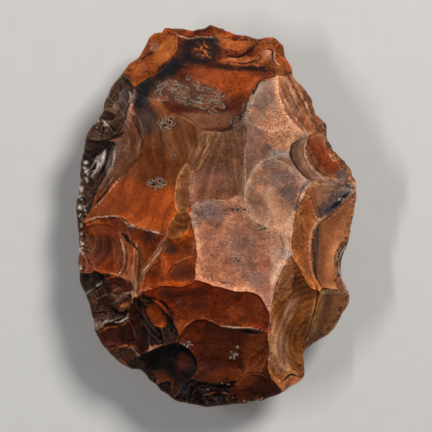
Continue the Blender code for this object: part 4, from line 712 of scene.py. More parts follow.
    Stroke("brown line", 0.4, [(22.6, 10), (20.6, 6.4), (21.6, 2.6)]),
    Stroke("pale", 0.6, [(17.4, 9), (16.6, 5), (17.6, 0.6), (16.6, -2.4)]),
    Stroke("pale", 0.5, [(20.6, 3), (20.2, -1), (21, -5)]),
    Stroke("brown line", 0.6, [(2, 1.6), (6, 2.2), (10.6, 1.6)]),
    Stroke("brown line", 0.7, [(13, -2.6), (14.6, -3.6), (15.8, -4)]),
    Stroke("brown line", 0.5, [(5.2, -13.6), (6.4, -13.4), (7.8, -14.2)]),
]
# Fine streaks that fan out across the right of the left fan, and hatching on the lower left step.
for step in range(6):
    STROKES.append(Stroke("brown line", 0.3, [(-15.4 + 1.7 * step, 12.4 + 0.5 * step),
                                      (-11.8 + 1.6 * step, 17.6 + 0.3 * step),
                                      (-9.2 + 1.4 * step, 22.6)], ("left fan", "striped flat")))
    STROKES.append(Stroke("pale", 0.25, [(-35.4 + step, -32.3), (-35.8 + step, -34.2)],
                          ("lower left step",)))

# Rows of beads that the fossil is made of.
FOSSIL_ROWS = [
    [(-13.2, 43.4), (-16, 43.8), (-18.3, 42), (-18.9, 39.6), (-17.6, 38), (-15.8, 38.8)],
    [(-15, 41.8), (-12, 42.6), (-9, 40.6)],
    [(-13.5, 40.6), (-11, 39.6), (-9, 38.6)],
    [(-12.6, 38.2), (-10.4, 36.6)],
    [(-8.8, 45.2), (-7.6, 44.4)],
    [(-7.6, 43.6), (-5.2, 43)],
    [(-5.2, 41.6), (-2.4, 40.8), (0.4, 40.6), (2.2, 39.4)],
    [(-7, 39.4), (-5, 38.6), (-3, 38.6), (0.4, 38.4)],
    [(-9.4, 37.2), (-7, 36.6), (-4, 35.6), (0, 36), (2.7, 35.6)],
    [(-4.2, 37.2), (-1.6, 37), (1, 37)],
    [(-1.6, 34.2), (0.4, 33.2)],
]

# Groups of small round spots: middle, radius of the group, how many, their size, the colours of
# spot and rim, and how deeply they are sunk as a share of their size.
Spots = namedtuple("Spots", "middle spread count size colour rim sunk")
PIT, PALE, WHITE = (34, 24, 20), (196, 168, 146), (236, 224, 212)
SPOT_GROUPS = [
    Spots((-16, 30), (2.6, 2.0), 22, 0.55, PIT, PALE, 0.4),
    Spots((-14.3, 19.4), (1.0, 0.8), 5, 0.45, PIT, PALE, 0.4),
    Spots((-19, 10.6), (3.0, 1.7), 30, 0.55, PIT, PALE, 0.4),
    Spots((6.6, 30.4), (2.4, 1.7), 34, 0.34, (150, 122, 100), PIT, -0.4),
    Spots((9.6, 34.4), (1.6, 2.6), 34, 0.34, (168, 140, 118), PIT, -0.4),
    Spots((-16, 30), (2.4, 1.9), 7, 0.36, PALE, PIT, -0.3),
    Spots((-19, 10.6), (2.6, 1.4), 7, 0.36, PALE, PIT, -0.3),
    Spots((7.6, 1.9), (2.8, 0.8), 16, 0.4, PIT, PALE, 0.4),
    Spots((14.5, -3.4), (1.9, 1.0), 12, 0.4, PIT, PALE, 0.4),
    Spots((6.4, -13.8), (1.5, 0.8), 9, 0.4, PIT, PALE, 0.4),
    Spots((-12.2, -27), (1.2, 0.9), 6, 0.4, PIT, (150, 100, 70), 0.4),
    Spots((-10.6, -41), (2.0, 1.1), 9, 0.42, PIT, (150, 110, 84), 0.4),
    Spots((5.6, -45.4), (1.7, 1.4), 11, 0.34, WHITE, PIT, -0.3),
    Spots((7.2, -42.6), (0.5, 0.4), 2, 0.36, WHITE, PIT, -0.3),
    Spots((-9.4, -41.6), (1.8, 0.9), 8, 0.3, WHITE, PIT, -0.3),
    Spots((20, 29), (6.5, 7), 90, 0.34, (190, 100, 56), None, 0.0),
    Spots((19, 30), (6.4, 8), 150, 0.27, (44, 28, 24), None, 0.2),
    Spots((16, 20), (7, 2.6), 50, 0.34, (84, 62, 54), None, 0.1),
    Spots((5, 42), (9, 5), 70, 0.34, (62, 22, 10), None, 0.15),
    Spots((-27.8, 49), (0.1, 0.1), 1, 1.1, (190, 116, 72), (70, 40, 26), 0.2),
    Spots((-27.4, -3.3), (0.1, 0.1), 1, 1.0, (220, 190, 164), None, -0.4),
    Spots((4.3, 40.7), (0.1, 0.1), 1, 0.8, (66, 22, 8), (176, 90, 44), 0.2),
    Spots((8, 41), (0.3, 0.2), 1, 0.6, (80, 30, 12), None, 0.1),
    Spots((12.6, 35.4), (1.6, 1.8), 6, 0.5, (90, 78, 72), None, 0.1),
    Spots((36, 18), (6, 5), 90, 0.34, (96, 34, 12), None, 0.1),
    Spots((28, 6), (4, 5), 34, 0.34, (150, 62, 30), None, 0.05),
    Spots((25, 7), (4, 6), 60, 0.28, (66, 48, 46), None, 0.1),
    Spots((38, 6), (4, 3), 30, 0.28, (20, 18, 20), None, 0.1),
    Spots((40.5, 4.8), (3, 1.2), 12, 0.26, (206, 196, 186), None, 0.1),
    Spots((28, -6), (2.4, 12), 44, 0.32, (70, 40, 22), None, 0.1),
    Spots((6, -8), (14, 15), 150, 0.28, (108, 70, 56), None, 0.1),
    Spots((5, -29), (11, 6), 60, 0.3, (70, 24, 10), None, 0.1),
    Spots((26, 40), (5, 9), 50, 0.3, (130, 78, 52), None, 0.1),
    # Painted glints along the glossy left rim and on the upper left facet.
    Spots((-44.4, 4), (0.8, 8), 18, 0.5, WHITE, None, -0.1),
    Spots((-42.6, 14.6), (0.8, 3.4), 8, 0.6, WHITE, None, -0.1),
    Spots((-44.2, -12), (0.8, 7), 14, 0.45, WHITE, None, -0.1),
    Spots((-38, 30), (3, 2.4), 9, 0.45, (212, 190, 176), None, -0.1),
    Spots((-3, 1.6), (4, 2), 26, 0.34, (74, 60, 58), None, 0.1),
]

# Retouch along the cutting edge, clockwise from each place on: breadth, reach and depth.
RETOUCH = [
    ((-44, -22), (3.6, 4.0, 0.8)),
    ((-45.5, 6), (3.2, 4.0, 0.9)),
    ((-42.6, 26), (3.4, 3.4, 0.7)),
    ((-31, 46), (2.6, 2.0, 0.35)),
    ((-17, 61), (3.0, 1.8, 0.3)),
    ((19, 58.6), (2.6, 1.9, 0.35)),
    ((26, 45), (3.0, 2.4, 0.5)),
    ((43, 16.4), (2.2, 1.4, 0.25)),
    ((44, -6), (2.8, 2.2, 0.45)),
    ((43.2, -25), (2.4, 1.5, 0.3)),
    ((22, -57.7), (3.4, 2.6, 0.5)),
    ((-13.4, -60.2), (3.0, 2.8, 0.55)),
    ((-33, -46.6), (3.2, 3.2, 0.6)),
]


# ---------------------------------------------------------------- plane curves
def smooth_loop(points, spacing):
    """Closed centripetal Catmull-Rom curve through the points, as points about spacing apart."""
    points = np.array(points, float)
    dense = []
    for here in range(len(points)):
        a, b, c, d = (points[(here + shift) % len(points)] for shift in (-1, 0, 1, 2))
        knot_b = math.sqrt(np.hypot(*(b - a)))
        knot_c = knot_b + math.sqrt(np.hypot(*(c - b)))
        knot_d = knot_c + math.sqrt(np.hypot(*(d - c)))
        for t in np.linspace(knot_b, knot_c, 12, endpoint=False):
            ab = (a * (knot_b - t) + b * t) / knot_b
            bc = (b * (knot_c - t) + c * (t - knot_b)) / (knot_c - knot_b)
            cd = (c * (knot_d - t) + d * (t - knot_c)) / (knot_d - knot_c)
            abc = (ab * (knot_c - t) + bc * t) / knot_c
            bcd = (bc * (knot_d - t) + cd * (t - knot_b)) / (knot_d - knot_b)
            dense.append((abc * (knot_c - t) + bcd * (t - knot_b)) / (knot_c - knot_b))
    dense = np.array(dense + dense[:1])
    steps = np.hypot(*np.diff(dense, axis=0).T)
    travel = np.concatenate(([0.0], np.cumsum(steps)))
    count = max(8, round(travel[-1] / spacing))
    stations = np.linspace(0.0, travel[-1], count, endpoint=False)
    return np.column_stack([np.interp(stations, travel, dense[:, axis]) for axis in (0, 1)])


def inside(points, loop):
    """Which points lie inside a closed loop."""
    result = np.zeros(len(points), bool)
    low, high = loop.min(axis=0), loop.max(axis=0)
    near = np.flatnonzero(np.all((points > low) & (points < high), axis=1))
    x, y = points[near].T
    crossings = np.zeros(len(near), int)
    for (x0, y0), (x1, y1) in zip(loop, np.roll(loop, -1, axis=0)):
        if y0 == y1:
            continue
        spans = (y0 > y) != (y1 > y)
        crossings += spans & (x < x0 + (y - y0) * (x1 - x0) / (y1 - y0))
    result[near] = crossings % 2 == 1
    return result


def distance_to_line(points, line):
    """Distance from each point to the nearest stretch of a broken line."""
    nearest = np.full(len(points), np.inf)
    for start, end in zip(line[:-1], line[1:]):
        along = end - start
        travel = np.clip((points - start) @ along / (along @ along), 0.0, 1.0)
        offset = points - start - travel[:, None] * along
        nearest = np.minimum(nearest, np.hypot(*offset.T))
    return nearest


def distance_to_loop(points, loop):
    """Distance from each point to the nearest side of a closed loop."""
    return distance_to_line(points, np.vstack([loop, loop[:1]]))


# ---------------------------------------------------------------- surfaces over the plan
def thin_plate(spots):
    """The smooth height over the plan that bends least while it passes through the spots."""
    spots = np.array(spots, float)
    places, heights = spots[:, :2], spots[:, 2]

    def bend(points):
        squared = ((points[:, None, :] - places[None, :, :]) ** 2).sum(axis=2)
        return 0.5 * squared * np.log(squared + 1e-12)

    count = len(spots)
    plane = np.column_stack([np.ones(count), places])
    system = np.zeros((count + 3, count + 3))
    system[:count, :count] = bend(places)
    system[:count, count:] = plane
    system[count:, :count] = plane.T
    weights = np.linalg.solve(system, np.concatenate([heights, np.zeros(3)]))

    def height(points):
        flat = np.column_stack([np.ones(len(points)), points])
        return bend(points) @ weights[:count] + flat @ weights[count:]

    return height


def mean_value_weights(points, loop):
    """Mean value coordinates: how much each corner of the loop counts at each point."""
    spokes = loop[None, :, :] - points[:, None, :]
    reach = np.hypot(spokes[..., 0], spokes[..., 1])
    following = np.roll(spokes, -1, axis=1)
    cross = spokes[..., 0] * following[..., 1] - spokes[..., 1] * following[..., 0]
    dot = (spokes * following).sum(axis=2)
    half_tangent = cross / (reach * np.roll(reach, -1, axis=1) + dot + 1e-9)
    weights = (half_tangent + np.roll(half_tangent, 1, axis=1)) / reach
    return weights / weights.sum(axis=1, keepdims=True)


def hollow(points, loop):
    """Shape of a hollow with that outline: 0 on the outline and about 1 in its middle."""
    middle = loop.mean(axis=0)
    loop_square = ((loop - middle) ** 2).sum(axis=1)
    square = ((points - middle) ** 2).sum(axis=1)
    weights = mean_value_weights(points, loop)
    deepest = mean_value_weights(middle[None, :], loop) @ loop_square
    return weights, np.clip((weights @ loop_square - square) / deepest, 0.0, None)


# ---------------------------------------------------------------- noise
def value_noise(points, size, seed):
    """Smooth random values, -1 to 1, that change over about the given size."""
    side = 64
    table = np.random.default_rng(seed).uniform(-1.0, 1.0, (side, side))
    turned = np.column_stack([0.8 * points[:, 0] + 0.6 * points[:, 1],
                              0.8 * points[:, 1] - 0.6 * points[:, 0]])
    cells = turned / size + 500.37
    low = np.floor(cells).astype(int)
    part = cells - low
    ease = part * part * (3.0 - 2.0 * part)
    left, down = low[:, 0] % side, low[:, 1] % side
    right, up = (left + 1) % side, (down + 1) % side
    below = table[left, down] + (table[right, down] - table[left, down]) * ease[:, 0]
    above = table[left, up] + (table[right, up] - table[left, up]) * ease[:, 0]
    return below + (above - below) * ease[:, 1]


def fractal(points, size, seed, octaves=4):
    """Value noise with finer and weaker layers on top of it."""
    total = np.zeros(len(points))
    for octave in range(octaves):
        total += value_noise(points, size / 2 ** octave, seed + octave) / 2 ** octave
    return total / 1.6


def smooth_step(low, high, values):
    """Smooth rise from 0 at low to 1 at high."""
    t = np.clip((values - low) / (high - low), 0.0, 1.0)
    return t * t * (3.0 - 2.0 * t)


# ---------------------------------------------------------------- striking the scars
def ragged(loop):
    """The loop moved about a little, as a broken edge wanders. A place always moves alike."""
    shift = np.column_stack([fractal(loop, 3.4, SEED + 5, 3), fractal(loop, 3.4, SEED + 15, 3)])
    return loop + RAGGEDNESS * shift


def probe_loop(outline):
    """A scar's outline at the spacing at which heights are read along it."""
    corners = np.array(outline, float)
    around = np.hypot(*(corners - np.roll(corners, -1, axis=0)).T).sum()
    return ragged(smooth_loop(outline, min(PROBE_SPACING, 0.05 * around)))


def ease_onto(points, loop, lift, reach):
    """Spread the lift wanted along a loop over the points near it, fading out at reach."""
    spread = np.zeros(len(points))
    near = np.flatnonzero(distance_to_loop(points, loop[::LOOP_STEP]) < reach + 1.5)
    for first in range(0, len(near), BATCH):
        some = near[first:first + BATCH]
        squared = ((points[some][:, None, :] - loop[None, :, :]) ** 2).sum(axis=2) + 1e-9
        share = 1.0 / squared ** 2
        fade = 1.0 - smooth_step(0.0, reach, np.sqrt(squared.min(axis=1)))
        spread[some] = fade * (share @ lift) / share.sum(axis=1)
    return spread


def edge_wave(points):
    """Rough height of the cutting edge, which wanders a little as it goes round."""
    turn = np.arctan2(points[:, 1], points[:, 0])
    return EDGE_WAVE * (np.sin(3 * turn + 0.6) + 0.6 * np.sin(5 * turn + 2.1))


def edge_spots(rim, side):
    """Spots along the cutting edge, and outside it where the rough-out runs on past the edge."""
    spots = []
    for place in rim[::LOOP_STEP]:
        height = float(edge_wave(place[None, :])[0])
        beyond = place * (1 + EDGE_RUN_ON / np.hypot(*place))
        spots.append((*place, height))
        spots.append((*beyond, height - side * EDGE_FALL * EDGE_RUN_ON))
    return spots


def rim_towards(rim, direction):
    """The point of the cutting edge that lies in a direction from the middle."""
    return rim[np.argmax(rim @ direction / np.hypot(*rim.T))]


def lower_spots(rim):
    """Spots of the underside: a shallow keel round the sole, lower than the edge all round."""
    spots = [(*SOLE_CENTRE, -LOWER_DEPTH - 0.3)]
    turns = 14
    for step in range(turns):
        turn = 2 * math.pi * step / turns
        place = rim_towards(rim, np.array((math.cos(turn), math.sin(turn))))
        uneven = 0.8 * math.sin(3.0 * step) + 0.5 * math.sin(7.0 * step + 1.0)
        spots.append((*(0.36 * place), -LOWER_DEPTH + 1.0 + 0.3 * uneven))
        spots.append((*(0.66 * place), -0.70 * LOWER_DEPTH + uneven))
    return spots


def lower_scars(rim):
    """Scars of the underside: rings of flakes struck inwards from the cutting edge."""
    rings = [
        # flakes, reach as a share of the way in, breadth, depth, first turn
        (9, 0.62, 30.0, 2.1, 0.3),
        (11, 0.44, 21.0, 1.6, 0.9),
        (17, 0.26, 13.0, 1.1, 0.1),
    ]
    scars = []
    for ring, (count, reach, breadth, depth, first) in enumerate(rings):
        for step in range(count):
            order = (step * 4) % count if count % 4 else step
            turn = first + 2 * math.pi * order / count
            wobble = math.sin(5.3 * order + 1.7 * ring)
            direction = np.array((math.cos(turn), math.sin(turn)))
            place = rim_towards(rim, direction)
            skew = np.array((-direction[1], direction[0])) * wobble * 0.12 * np.hypot(*place)
            end = place * (1 - reach * (1 + 0.15 * wobble)) + skew
            breadth_here = breadth * (1 + 0.18 * math.cos(3.1 * order + ring))
            outline = leaf(place * 1.09, end, breadth_here)
            depth_here = depth * (1 + 0.2 * wobble)
            scars.append(Scar(f"under {ring} {step}", depth_here, 0.3, tuple(place), outline))
    return scars


def chip(place, inward, size, random):
    """A small scar that opens on the cutting edge and runs in: outline of uneven corners."""
    breadth, reach, depth = size
    along = np.array((-inward[1], inward[0]))
    skew = random.uniform(-0.5, 0.5)
    outline = []
    for share, width in ((-0.7, 0.42), (-0.1, 0.52), (0.45, 0.40), (0.85, 0.20)):
        outline.append((share, width * random.uniform(0.8, 1.2)))
    outline += [(share, -width * random.uniform(0.85, 1.15)) for share, width in outline[::-1]]
    corners = []
    for share, width in outline:
        aside = breadth * width + reach * skew * share
        corners.append(tuple(place + reach * share * inward + aside * along))
    strike = tuple(place - 0.6 * reach * inward)
    return Scar("retouch", depth, 0.2, strike, corners)


def retouch_scars(rim, side):
    """Small scars one after another along the whole cutting edge, in a mixed order of age."""
    random = np.random.default_rng(SEED + side)
    stops = []
    for place, size in RETOUCH:
        stops.append((int(np.argmin(((rim - place) ** 2).sum(axis=1))), size))
    stops.sort(key=lambda stop: stop[0])
    step = np.hypot(*(rim[1] - rim[0]))
    scars = []
    at = 0.0
    while at < len(rim) - 3:
        here = int(at)
        size = stops[-1][1]
        for first, later_size in stops:
            if first <= here:
                size = later_size
        growth = random.uniform(0.55, 1.5)
        breadth, reach, depth = (growth * part for part in size)
        ahead = rim[(here + 4) % len(rim)] - rim[here - 4]
        inward = np.array((ahead[1], -ahead[0])) / np.hypot(*ahead)
        scars.append(chip(rim[here], inward, (breadth, reach, depth), random))
        at += random.uniform(0.5, 1.0) * breadth / step
    order = random.permutation(len(scars))
    return [scars[index] for index in order]


def sole_outline():
    """The flat remnant on the underside: an oval with seven blunt corners."""
    corners = 7
    points = []
    for step in range(4 * corners):
        turn = 2 * math.pi * step / (4 * corners)
        bulge = 1.0 + 0.05 * math.cos(corners * turn)
        x = SOLE_CENTRE[0] + 0.5 * SOLE_BREADTH * bulge * math.cos(turn)
        y = SOLE_CENTRE[1] + 0.5 * SOLE_LENGTH * bulge * math.sin(turn)
        points.append((x, y))
    return points


def owners(points, loops):
    """Index of the youngest scar outline that each point lies in, or -1."""
    owner = np.full(len(points), -1)
    for index, loop in enumerate(loops):
        owner[inside(points, loop)] = index
    return owner


class Face:
    """One face of the axe: its rough-out and the scars struck into it, oldest first."""

    def __init__(self, spots, scars, sign):
        self.rough_out = thin_plate(spots)
        self.scars = scars
        self.loops = [probe_loop(scar.outline) for scar in scars]
        self.sign = sign

    def knapped(self, points):
        """Heights after every scar is struck, and how far inside its scar each point is."""
        starts = np.cumsum([len(points)] + [len(loop) for loop in self.loops])
        everything = np.vstack([points] + self.loops)
        height = self.rough_out(everything)
        fullness = np.ones(len(everything))
        for scar, loop, start in zip(self.scars, self.loops, starts):
            within = np.flatnonzero(inside(everything, loop))
            within = within[distance_to_loop(everything[within], loop) > 0.02]
            if len(within) == 0:
                continue
            places = everything[within]
            weights, bowl = hollow(places, loop)
            middle = loop.mean(axis=0)
            towards = np.array(scar.strike, float) - middle
            shift = np.clip((places - middle) @ towards / (towards @ towards), -1.0, 1.0)
            loop_height = height[start:start + len(loop)]
            dig = scar.depth * bowl ** FLOOR_FLATNESS * (1 + scar.lean * shift)
            height[within] = weights @ loop_height - self.sign * dig
            fullness[within] = bowl
        return height[:len(points)], fullness[:len(points)]


class Underside(Face):
    """The lower face, which is eased onto the flat sole and stays above the ground elsewhere."""

    def knapped(self, points):
        sole = smooth_loop(sole_outline(), PROBE_SPACING)
        height, fullness = super().knapped(np.vstack([points, sole]))
        height, sole_height = height[:len(points)], height[len(points):]
        height += ease_onto(points, sole, -LOWER_DEPTH - sole_height, 2 * WELD_REACH)
        flat = inside(points, sole) | (distance_to_loop(points, sole) < 0.05)
        height = np.where(flat, -LOWER_DEPTH, np.maximum(height, SOLE_STEP - LOWER_DEPTH))
        return height, fullness[:len(points)]


class Axe:
    """The cutting edge and the two faces that meet along it."""

    def __init__(self):
        guide = smooth_loop(PLAN, GUIDE_SPACING)
        rim = smooth_loop(PLAN, UPPER_SPACING)
        ahead = np.roll(rim, -1, axis=0) - np.roll(rim, 1, axis=0)
        outward = np.column_stack([-ahead[:, 1], ahead[:, 0]]) / np.hypot(*ahead.T)[:, None]
        self.rim = rim + RIM_NICKS * fractal(rim, 2.6, SEED + 40, 3)[:, None] * outward
        self.main_count = (len(UPPER_SCARS), len(lower_scars(guide)))
        upper_scars = UPPER_SCARS + retouch_scars(rim, 0)
        under_scars = lower_scars(guide) + retouch_scars(rim, 1)
        self.faces = (Face(UPPER_SPOTS + edge_spots(guide, 1), upper_scars, 1),
                      Underside(lower_spots(guide) + edge_spots(guide, -1), under_scars, -1))
        upper, lower = (face.knapped(self.rim)[0] for face in self.faces)
        self.edge_gap = upper - lower
        self.rim_height = 0.5 * (upper + lower)

    def height(self, points, side):
        """Heights and scar fullness on one face, which meets the other along the cutting edge."""
        from_edge = distance_to_loop(points, self.rim[::2])
        near = from_edge < WEDGE_REACH
        sign = 1 - 2 * side
        share = 0.5 * sign * ease_onto(points, self.rim, self.edge_gap, WELD_REACH)
        own, fullness = self.faces[side].knapped(points)
        own = own - share
        other = self.faces[1 - side].knapped(points[near])[0] + share[near]
        least = np.minimum(WEDGE * from_edge[near], 0.5 * LOWER_DEPTH)
        thickness = sign * (own[near] - other)
        fuller = 0.5 * (thickness + least + np.hypot(thickness - least, 0.25 * least))
        aside = 0.5 * (own[near] + other) + 0.5 * sign * fuller
        fade = 1.0 - smooth_step(0.6 * WEDGE_REACH, WEDGE_REACH, from_edge[near])
        own[near] += fade * (aside - own[near])
        return np.maximum(own, -LOWER_DEPTH), fullness, from_edge


# ---------------------------------------------------------------- fine relief
def scar_looks(face, main_count):
    """A look for every scar. A retouch scar takes its colours from the one it was cut into."""
    random = np.random.default_rng(SEED + 7)
    found = [LOOKS.get(scar.name) or lower_look(random) for scar in face.scars[:main_count]]
    middles = np.array([np.mean(scar.outline, axis=0) for scar in face.scars])
    inner = middles + 0.12 * (np.array([scar.strike for scar in face.scars]) - middles)
    beneath = owners(0.96 * inner, face.loops[:main_count])
    for index in range(main_count, len(face.scars)):
        parent = found[beneath[index]] if beneath[index] >= 0 else PLAIN
        shade = random.uniform(0.7, 1.25)
        near = tuple(shade * part for part in parent.near)
        far = tuple(shade * part for part in parent.far)
        found.append(parent._replace(near=near, far=far, ripple=0.03, wave=1.4, bands=0.15,
                                     rays=0.1, rough=0.1, steps=0.15, edge=0.6,
                                     gloss=min(1.0, parent.gloss + 0.25)))
    return found


def lower_look(random):
    """Colours of a scar on the underside: the same flint, with no patch of its own."""
    kinds = [(128, 66, 34), (104, 50, 24), (150, 96, 64), (142, 78, 40), (88, 42, 22)]
    near = kinds[random.integers(len(kinds))]
    far = kinds[random.integers(len(kinds))]
    return look(near, far, ripple=0.08, wave=3.6, bands=0.2, rays=0.08, rough=0.12)


def spot_places():
    """Group, middle, radius and the direction of the brighter side of every small spot."""
    random = np.random.default_rng(SEED + 3)
    places = []
    for group in SPOT_GROUPS:
        for _ in range(group.count):
            turn = random.uniform(0, 2 * math.pi)
            away = math.sqrt(random.uniform(0, 1))
            x = group.middle[0] + away * group.spread[0] * math.cos(turn)
            y = group.middle[1] + away * group.spread[1] * math.sin(turn)
            lit = random.uniform(0, 2 * math.pi)
            places.append((group, x, y, group.size * random.uniform(0.5, 1.2), lit))
    return places


def around(points, middle, radius):
    """Which points lie within about three radii of a place, and their offsets from it."""
    near = np.flatnonzero(np.abs(points - middle).max(axis=1) < 3 * radius)
    return near, points[near] - middle


def spot_relief(points, places):
    """Depth of the sunk spots and height of their rims."""
    height = np.zeros(len(points))
    for group, x, y, radius, _ in places:
        if group.sunk == 0:
            continue
        near, offset = around(points, (x, y), radius)
        away = np.hypot(*offset.T) / radius
        height[near] -= group.sunk * radius * np.exp(-(away / 0.6) ** 2)
        if group.rim:
            height[near] += 0.5 * group.sunk * radius * np.exp(-((away - 1.1) / 0.35) ** 2)
    return height


def in_patch(points, middle, size, turn, soft=0.35, wander=0.35, seed=90):
    """1 inside an oval patch and 0 outside it, with an uneven edge."""
    turn = math.radians(turn)
    offset = points - middle
    along = (offset[:, 0] * math.cos(turn) + offset[:, 1] * math.sin(turn)) / size[0]
    across = (offset[:, 1] * math.cos(turn) - offset[:, 0] * math.sin(turn)) / size[1]
    away = np.hypot(along, across) + wander * fractal(points, 1.6 * min(size), seed)
    return 1.0 - smooth_step(1.0 - soft, 1.0 + soft, away)


# An oval area of the plan: middle, half length and half breadth, and turn in degrees.
Area = namedtuple("Area", "middle size turn")
FOSSIL = Area((-8.0, 39.6), (12.0, 4.6), -14.0)
BEAD_REACH = (17, 9)          # half size of the area in which its beads can show


def fossil_beads():
    """Middle and radius of every bead, row by row."""
    random = np.random.default_rng(SEED + 9)
    beads = []
    for row in FOSSIL_ROWS:
        corners = np.array(row)
        travel = np.concatenate(([0.0], np.cumsum(np.hypot(*np.diff(corners, axis=0).T))))
        at = 0.0
        row_beads = []
        while at <= travel[-1]:
            x = np.interp(at, travel, corners[:, 0]) + random.uniform(-0.2, 0.2)
            y = np.interp(at, travel, corners[:, 1]) + random.uniform(-0.2, 0.2)
            row_beads.append((x, y, random.uniform(0.5, 0.85)))
            at += random.uniform(0.8, 1.2)
        beads.append(row_beads)
    return beads


def fossil_relief(points):
    """Raised outlines of the fossil's rows of beads, and the rows themselves, as shares of 1."""
    outline = np.zeros(len(points))
    body = np.zeros(len(points))
    near = np.flatnonzero(in_patch(points, FOSSIL.middle, BEAD_REACH, FOSSIL.turn, 0.01, 0.0) > 0.5)
    places = points[near] + 0.4 * np.column_stack([fractal(points[near], 1.3, 400, 2),
                                                   fractal(points[near], 1.3, 410, 2)])
    nearest = np.full(len(near), np.inf)
    for row in fossil_beads():
        gap = np.full(len(near), np.inf)
        for x, y, radius in row:
            gap = np.minimum(gap, np.hypot(places[:, 0] - x, places[:, 1] - y) - radius)
        nearest = np.where(np.abs(gap) < np.abs(nearest), gap, nearest)
    broken = smooth_step(-0.45, 0.2, fractal(places, 1.5, SEED + 41, 2))
    outline[near] = np.exp(-(nearest / 0.2) ** 2) * broken
    body[near] = smooth_step(0.2, -0.2, nearest)
    return outline, body


def step_fractures(points, away, size, seed):
    """Small steps across the blow: the surface climbs slowly and drops at once, again and again."""
    level = away / size + 1.3 * fractal(points, 1.7 * size, seed, 2)
    share = level - np.floor(level)
    climb = 0.86
    saw = np.where(share < climb, share / climb, (1 - share) / (1 - climb)) - 0.5
    return saw * smooth_step(-0.3, 0.3, fractal(points, 2.2 * size, seed + 9, 2))


def relief(points, fullness, owner, scars, looks):
    """Waves, striae and crumpling of each scar, and its coloured bands."""
    height = 0.18 * fractal(points, 9.0, SEED + 30)
    bands = np.zeros(len(points))
    crumple = fractal(points, 3.2, SEED + 32)
    grain = fractal(points, 1.2, SEED + 31, 2)
    for index, scar in enumerate(scars):
        mine = np.flatnonzero(owner == index)
        if len(mine) == 0:
            continue
        kind = looks[index]
        places = points[mine]
        offset = places - np.array(scar.strike, float)
        away = np.hypot(*offset.T)
        turn = np.arctan2(offset[:, 1], offset[:, 0])
        fade = smooth_step(0.0, 0.3, fullness[mine])
        warp = 0.5 * fractal(places, 8.0, SEED + 50 + index, 2)
        phase = 2 * math.pi * (away / kind.wave + warp)
        swell = 0.55 + 0.45 * value_noise(places, 9.0, SEED + 60 + index)
        wave = np.sin(phase) + 0.45 * np.sin(2.3 * phase + 1.0)
        height[mine] += kind.ripple * wave * swell * fade
        polar = np.column_stack([turn * 38.0, 0.16 * away])
        ray = fractal(polar, 1.5, SEED + 70 + index, 3)
        height[mine] += 0.25 * kind.rays * ray * fade
        height[mine] += kind.rough * crumple[mine]
        if kind.steps > 0:
            height[mine] += kind.steps * fade * step_fractures(places, away, 3.2, SEED + 36 + index)
        height[mine] += kind.grain * grain[mine]
        sheet = np.column_stack([away, 0.25 * turn * away.mean()])
        streak = fractal(sheet, 0.55 * kind.wave, SEED + 80 + index, 4)
        bands[mine] = kind.bands * (0.4 * wave * swell + 1.3 * streak) + kind.rays * ray
    plain = owner < 0
    base = LOOKS["plateau"]
    height[plain] += base.rough * crumple[plain] + base.grain * grain[plain]
    return height, bands


def neighbour_mean(values, faces, rounds=1):
    """Mean of each vertex's neighbours, taken again and again."""
    starts = faces[:, (0, 1, 1, 2, 2, 0)].ravel()
    ends = faces[:, (1, 0, 2, 1, 0, 2)].ravel()
    count = np.maximum(np.bincount(starts, minlength=len(values)), 1)
    for _ in range(rounds):
        values = np.bincount(starts, weights=values[ends], minlength=len(values)) / count
    return values


# ---------------------------------------------------------------- paint
def linear(colour):
    """Linear light from a 0-255 sRGB colour."""
    part = np.clip(np.array(colour, float) / 255.0, 0.0, 1.0)
    return np.where(part <= 0.04045, part / 12.92, ((part + 0.055) / 1.055) ** 2.4)


def blend(colours, colour, amount):
    """Mix a colour into those given, by the amount at each place."""
    return colours + (linear(colour) - colours) * amount[:, None]


def open_curve(points, spacing):
    """Catmull-Rom curve through the points, as points about spacing apart."""
    points = np.array(points, float)
    ends = (2 * points[:1] - points[1:2], 2 * points[-1:] - points[-2:-1])
    a, b, c, d = (np.vstack([ends[0], points, ends[1]])[shift:len(points) - 1 + shift]
                  for shift in range(4))
    curve = []
    for start, first, last, end in zip(a, b, c, d):
        count = max(1, round(np.hypot(*(last - first)) / spacing))
        for t in np.arange(count) / count:
            bend = (2 * start - 5 * first + 4 * last - end) * t ** 2
            twist = (3 * first - start - 3 * last + end) * t ** 3
            curve.append(first + 0.5 * ((last - start) * t + bend + twist))
    return np.array(curve + [points[-1]])


def stroke_amount(points, stroke, number):
    """1 along a stroke and 0 away from it: uneven in width, tapered at its ends and broken."""
    amount = np.zeros(len(points))
    low = np.min(stroke.points, axis=0) - 2 * stroke.width
    high = np.max(stroke.points, axis=0) + 2 * stroke.width
    near = np.flatnonzero(np.all((points > low) & (points < high), axis=1))
    places = points[near]
    curve = open_curve(stroke.points, 0.8)
    ends = np.minimum(np.hypot(*(places - curve[0]).T), np.hypot(*(places - curve[-1]).T))
    width = stroke.width * (0.35 + 0.65 * smooth_step(0.0, 2.5, ends))
    width = width * (1.0 + 0.45 * fractal(places, 2.6, 200 + number, 2))
    away = distance_to_line(places, curve) / width + 0.3 * fractal(places, 1.0, 300 + number, 2)
    broken = smooth_step(-0.75, 0.1, fractal(places, 3.0, 400 + number, 3))
    amount[near] = (1.0 - smooth_step(0.2, 1.2, away)) * broken
    return amount


def stroke_relief(points):
    """Height of the small ridges and depth of the crevices."""
    height = np.zeros(len(points))
    for number, stroke in enumerate(STROKES):
        lift = STROKE_KINDS[stroke.kind][2]
        if lift:
            height += lift * stroke_amount(points, stroke, number)
    return height


FLECK = (216, 138, 98)                   # small orange-pink clouds
SHADE_HUE = np.array((0.8, 1.0, 1.1))    # what is darkened turns redder, and what is lit yellower


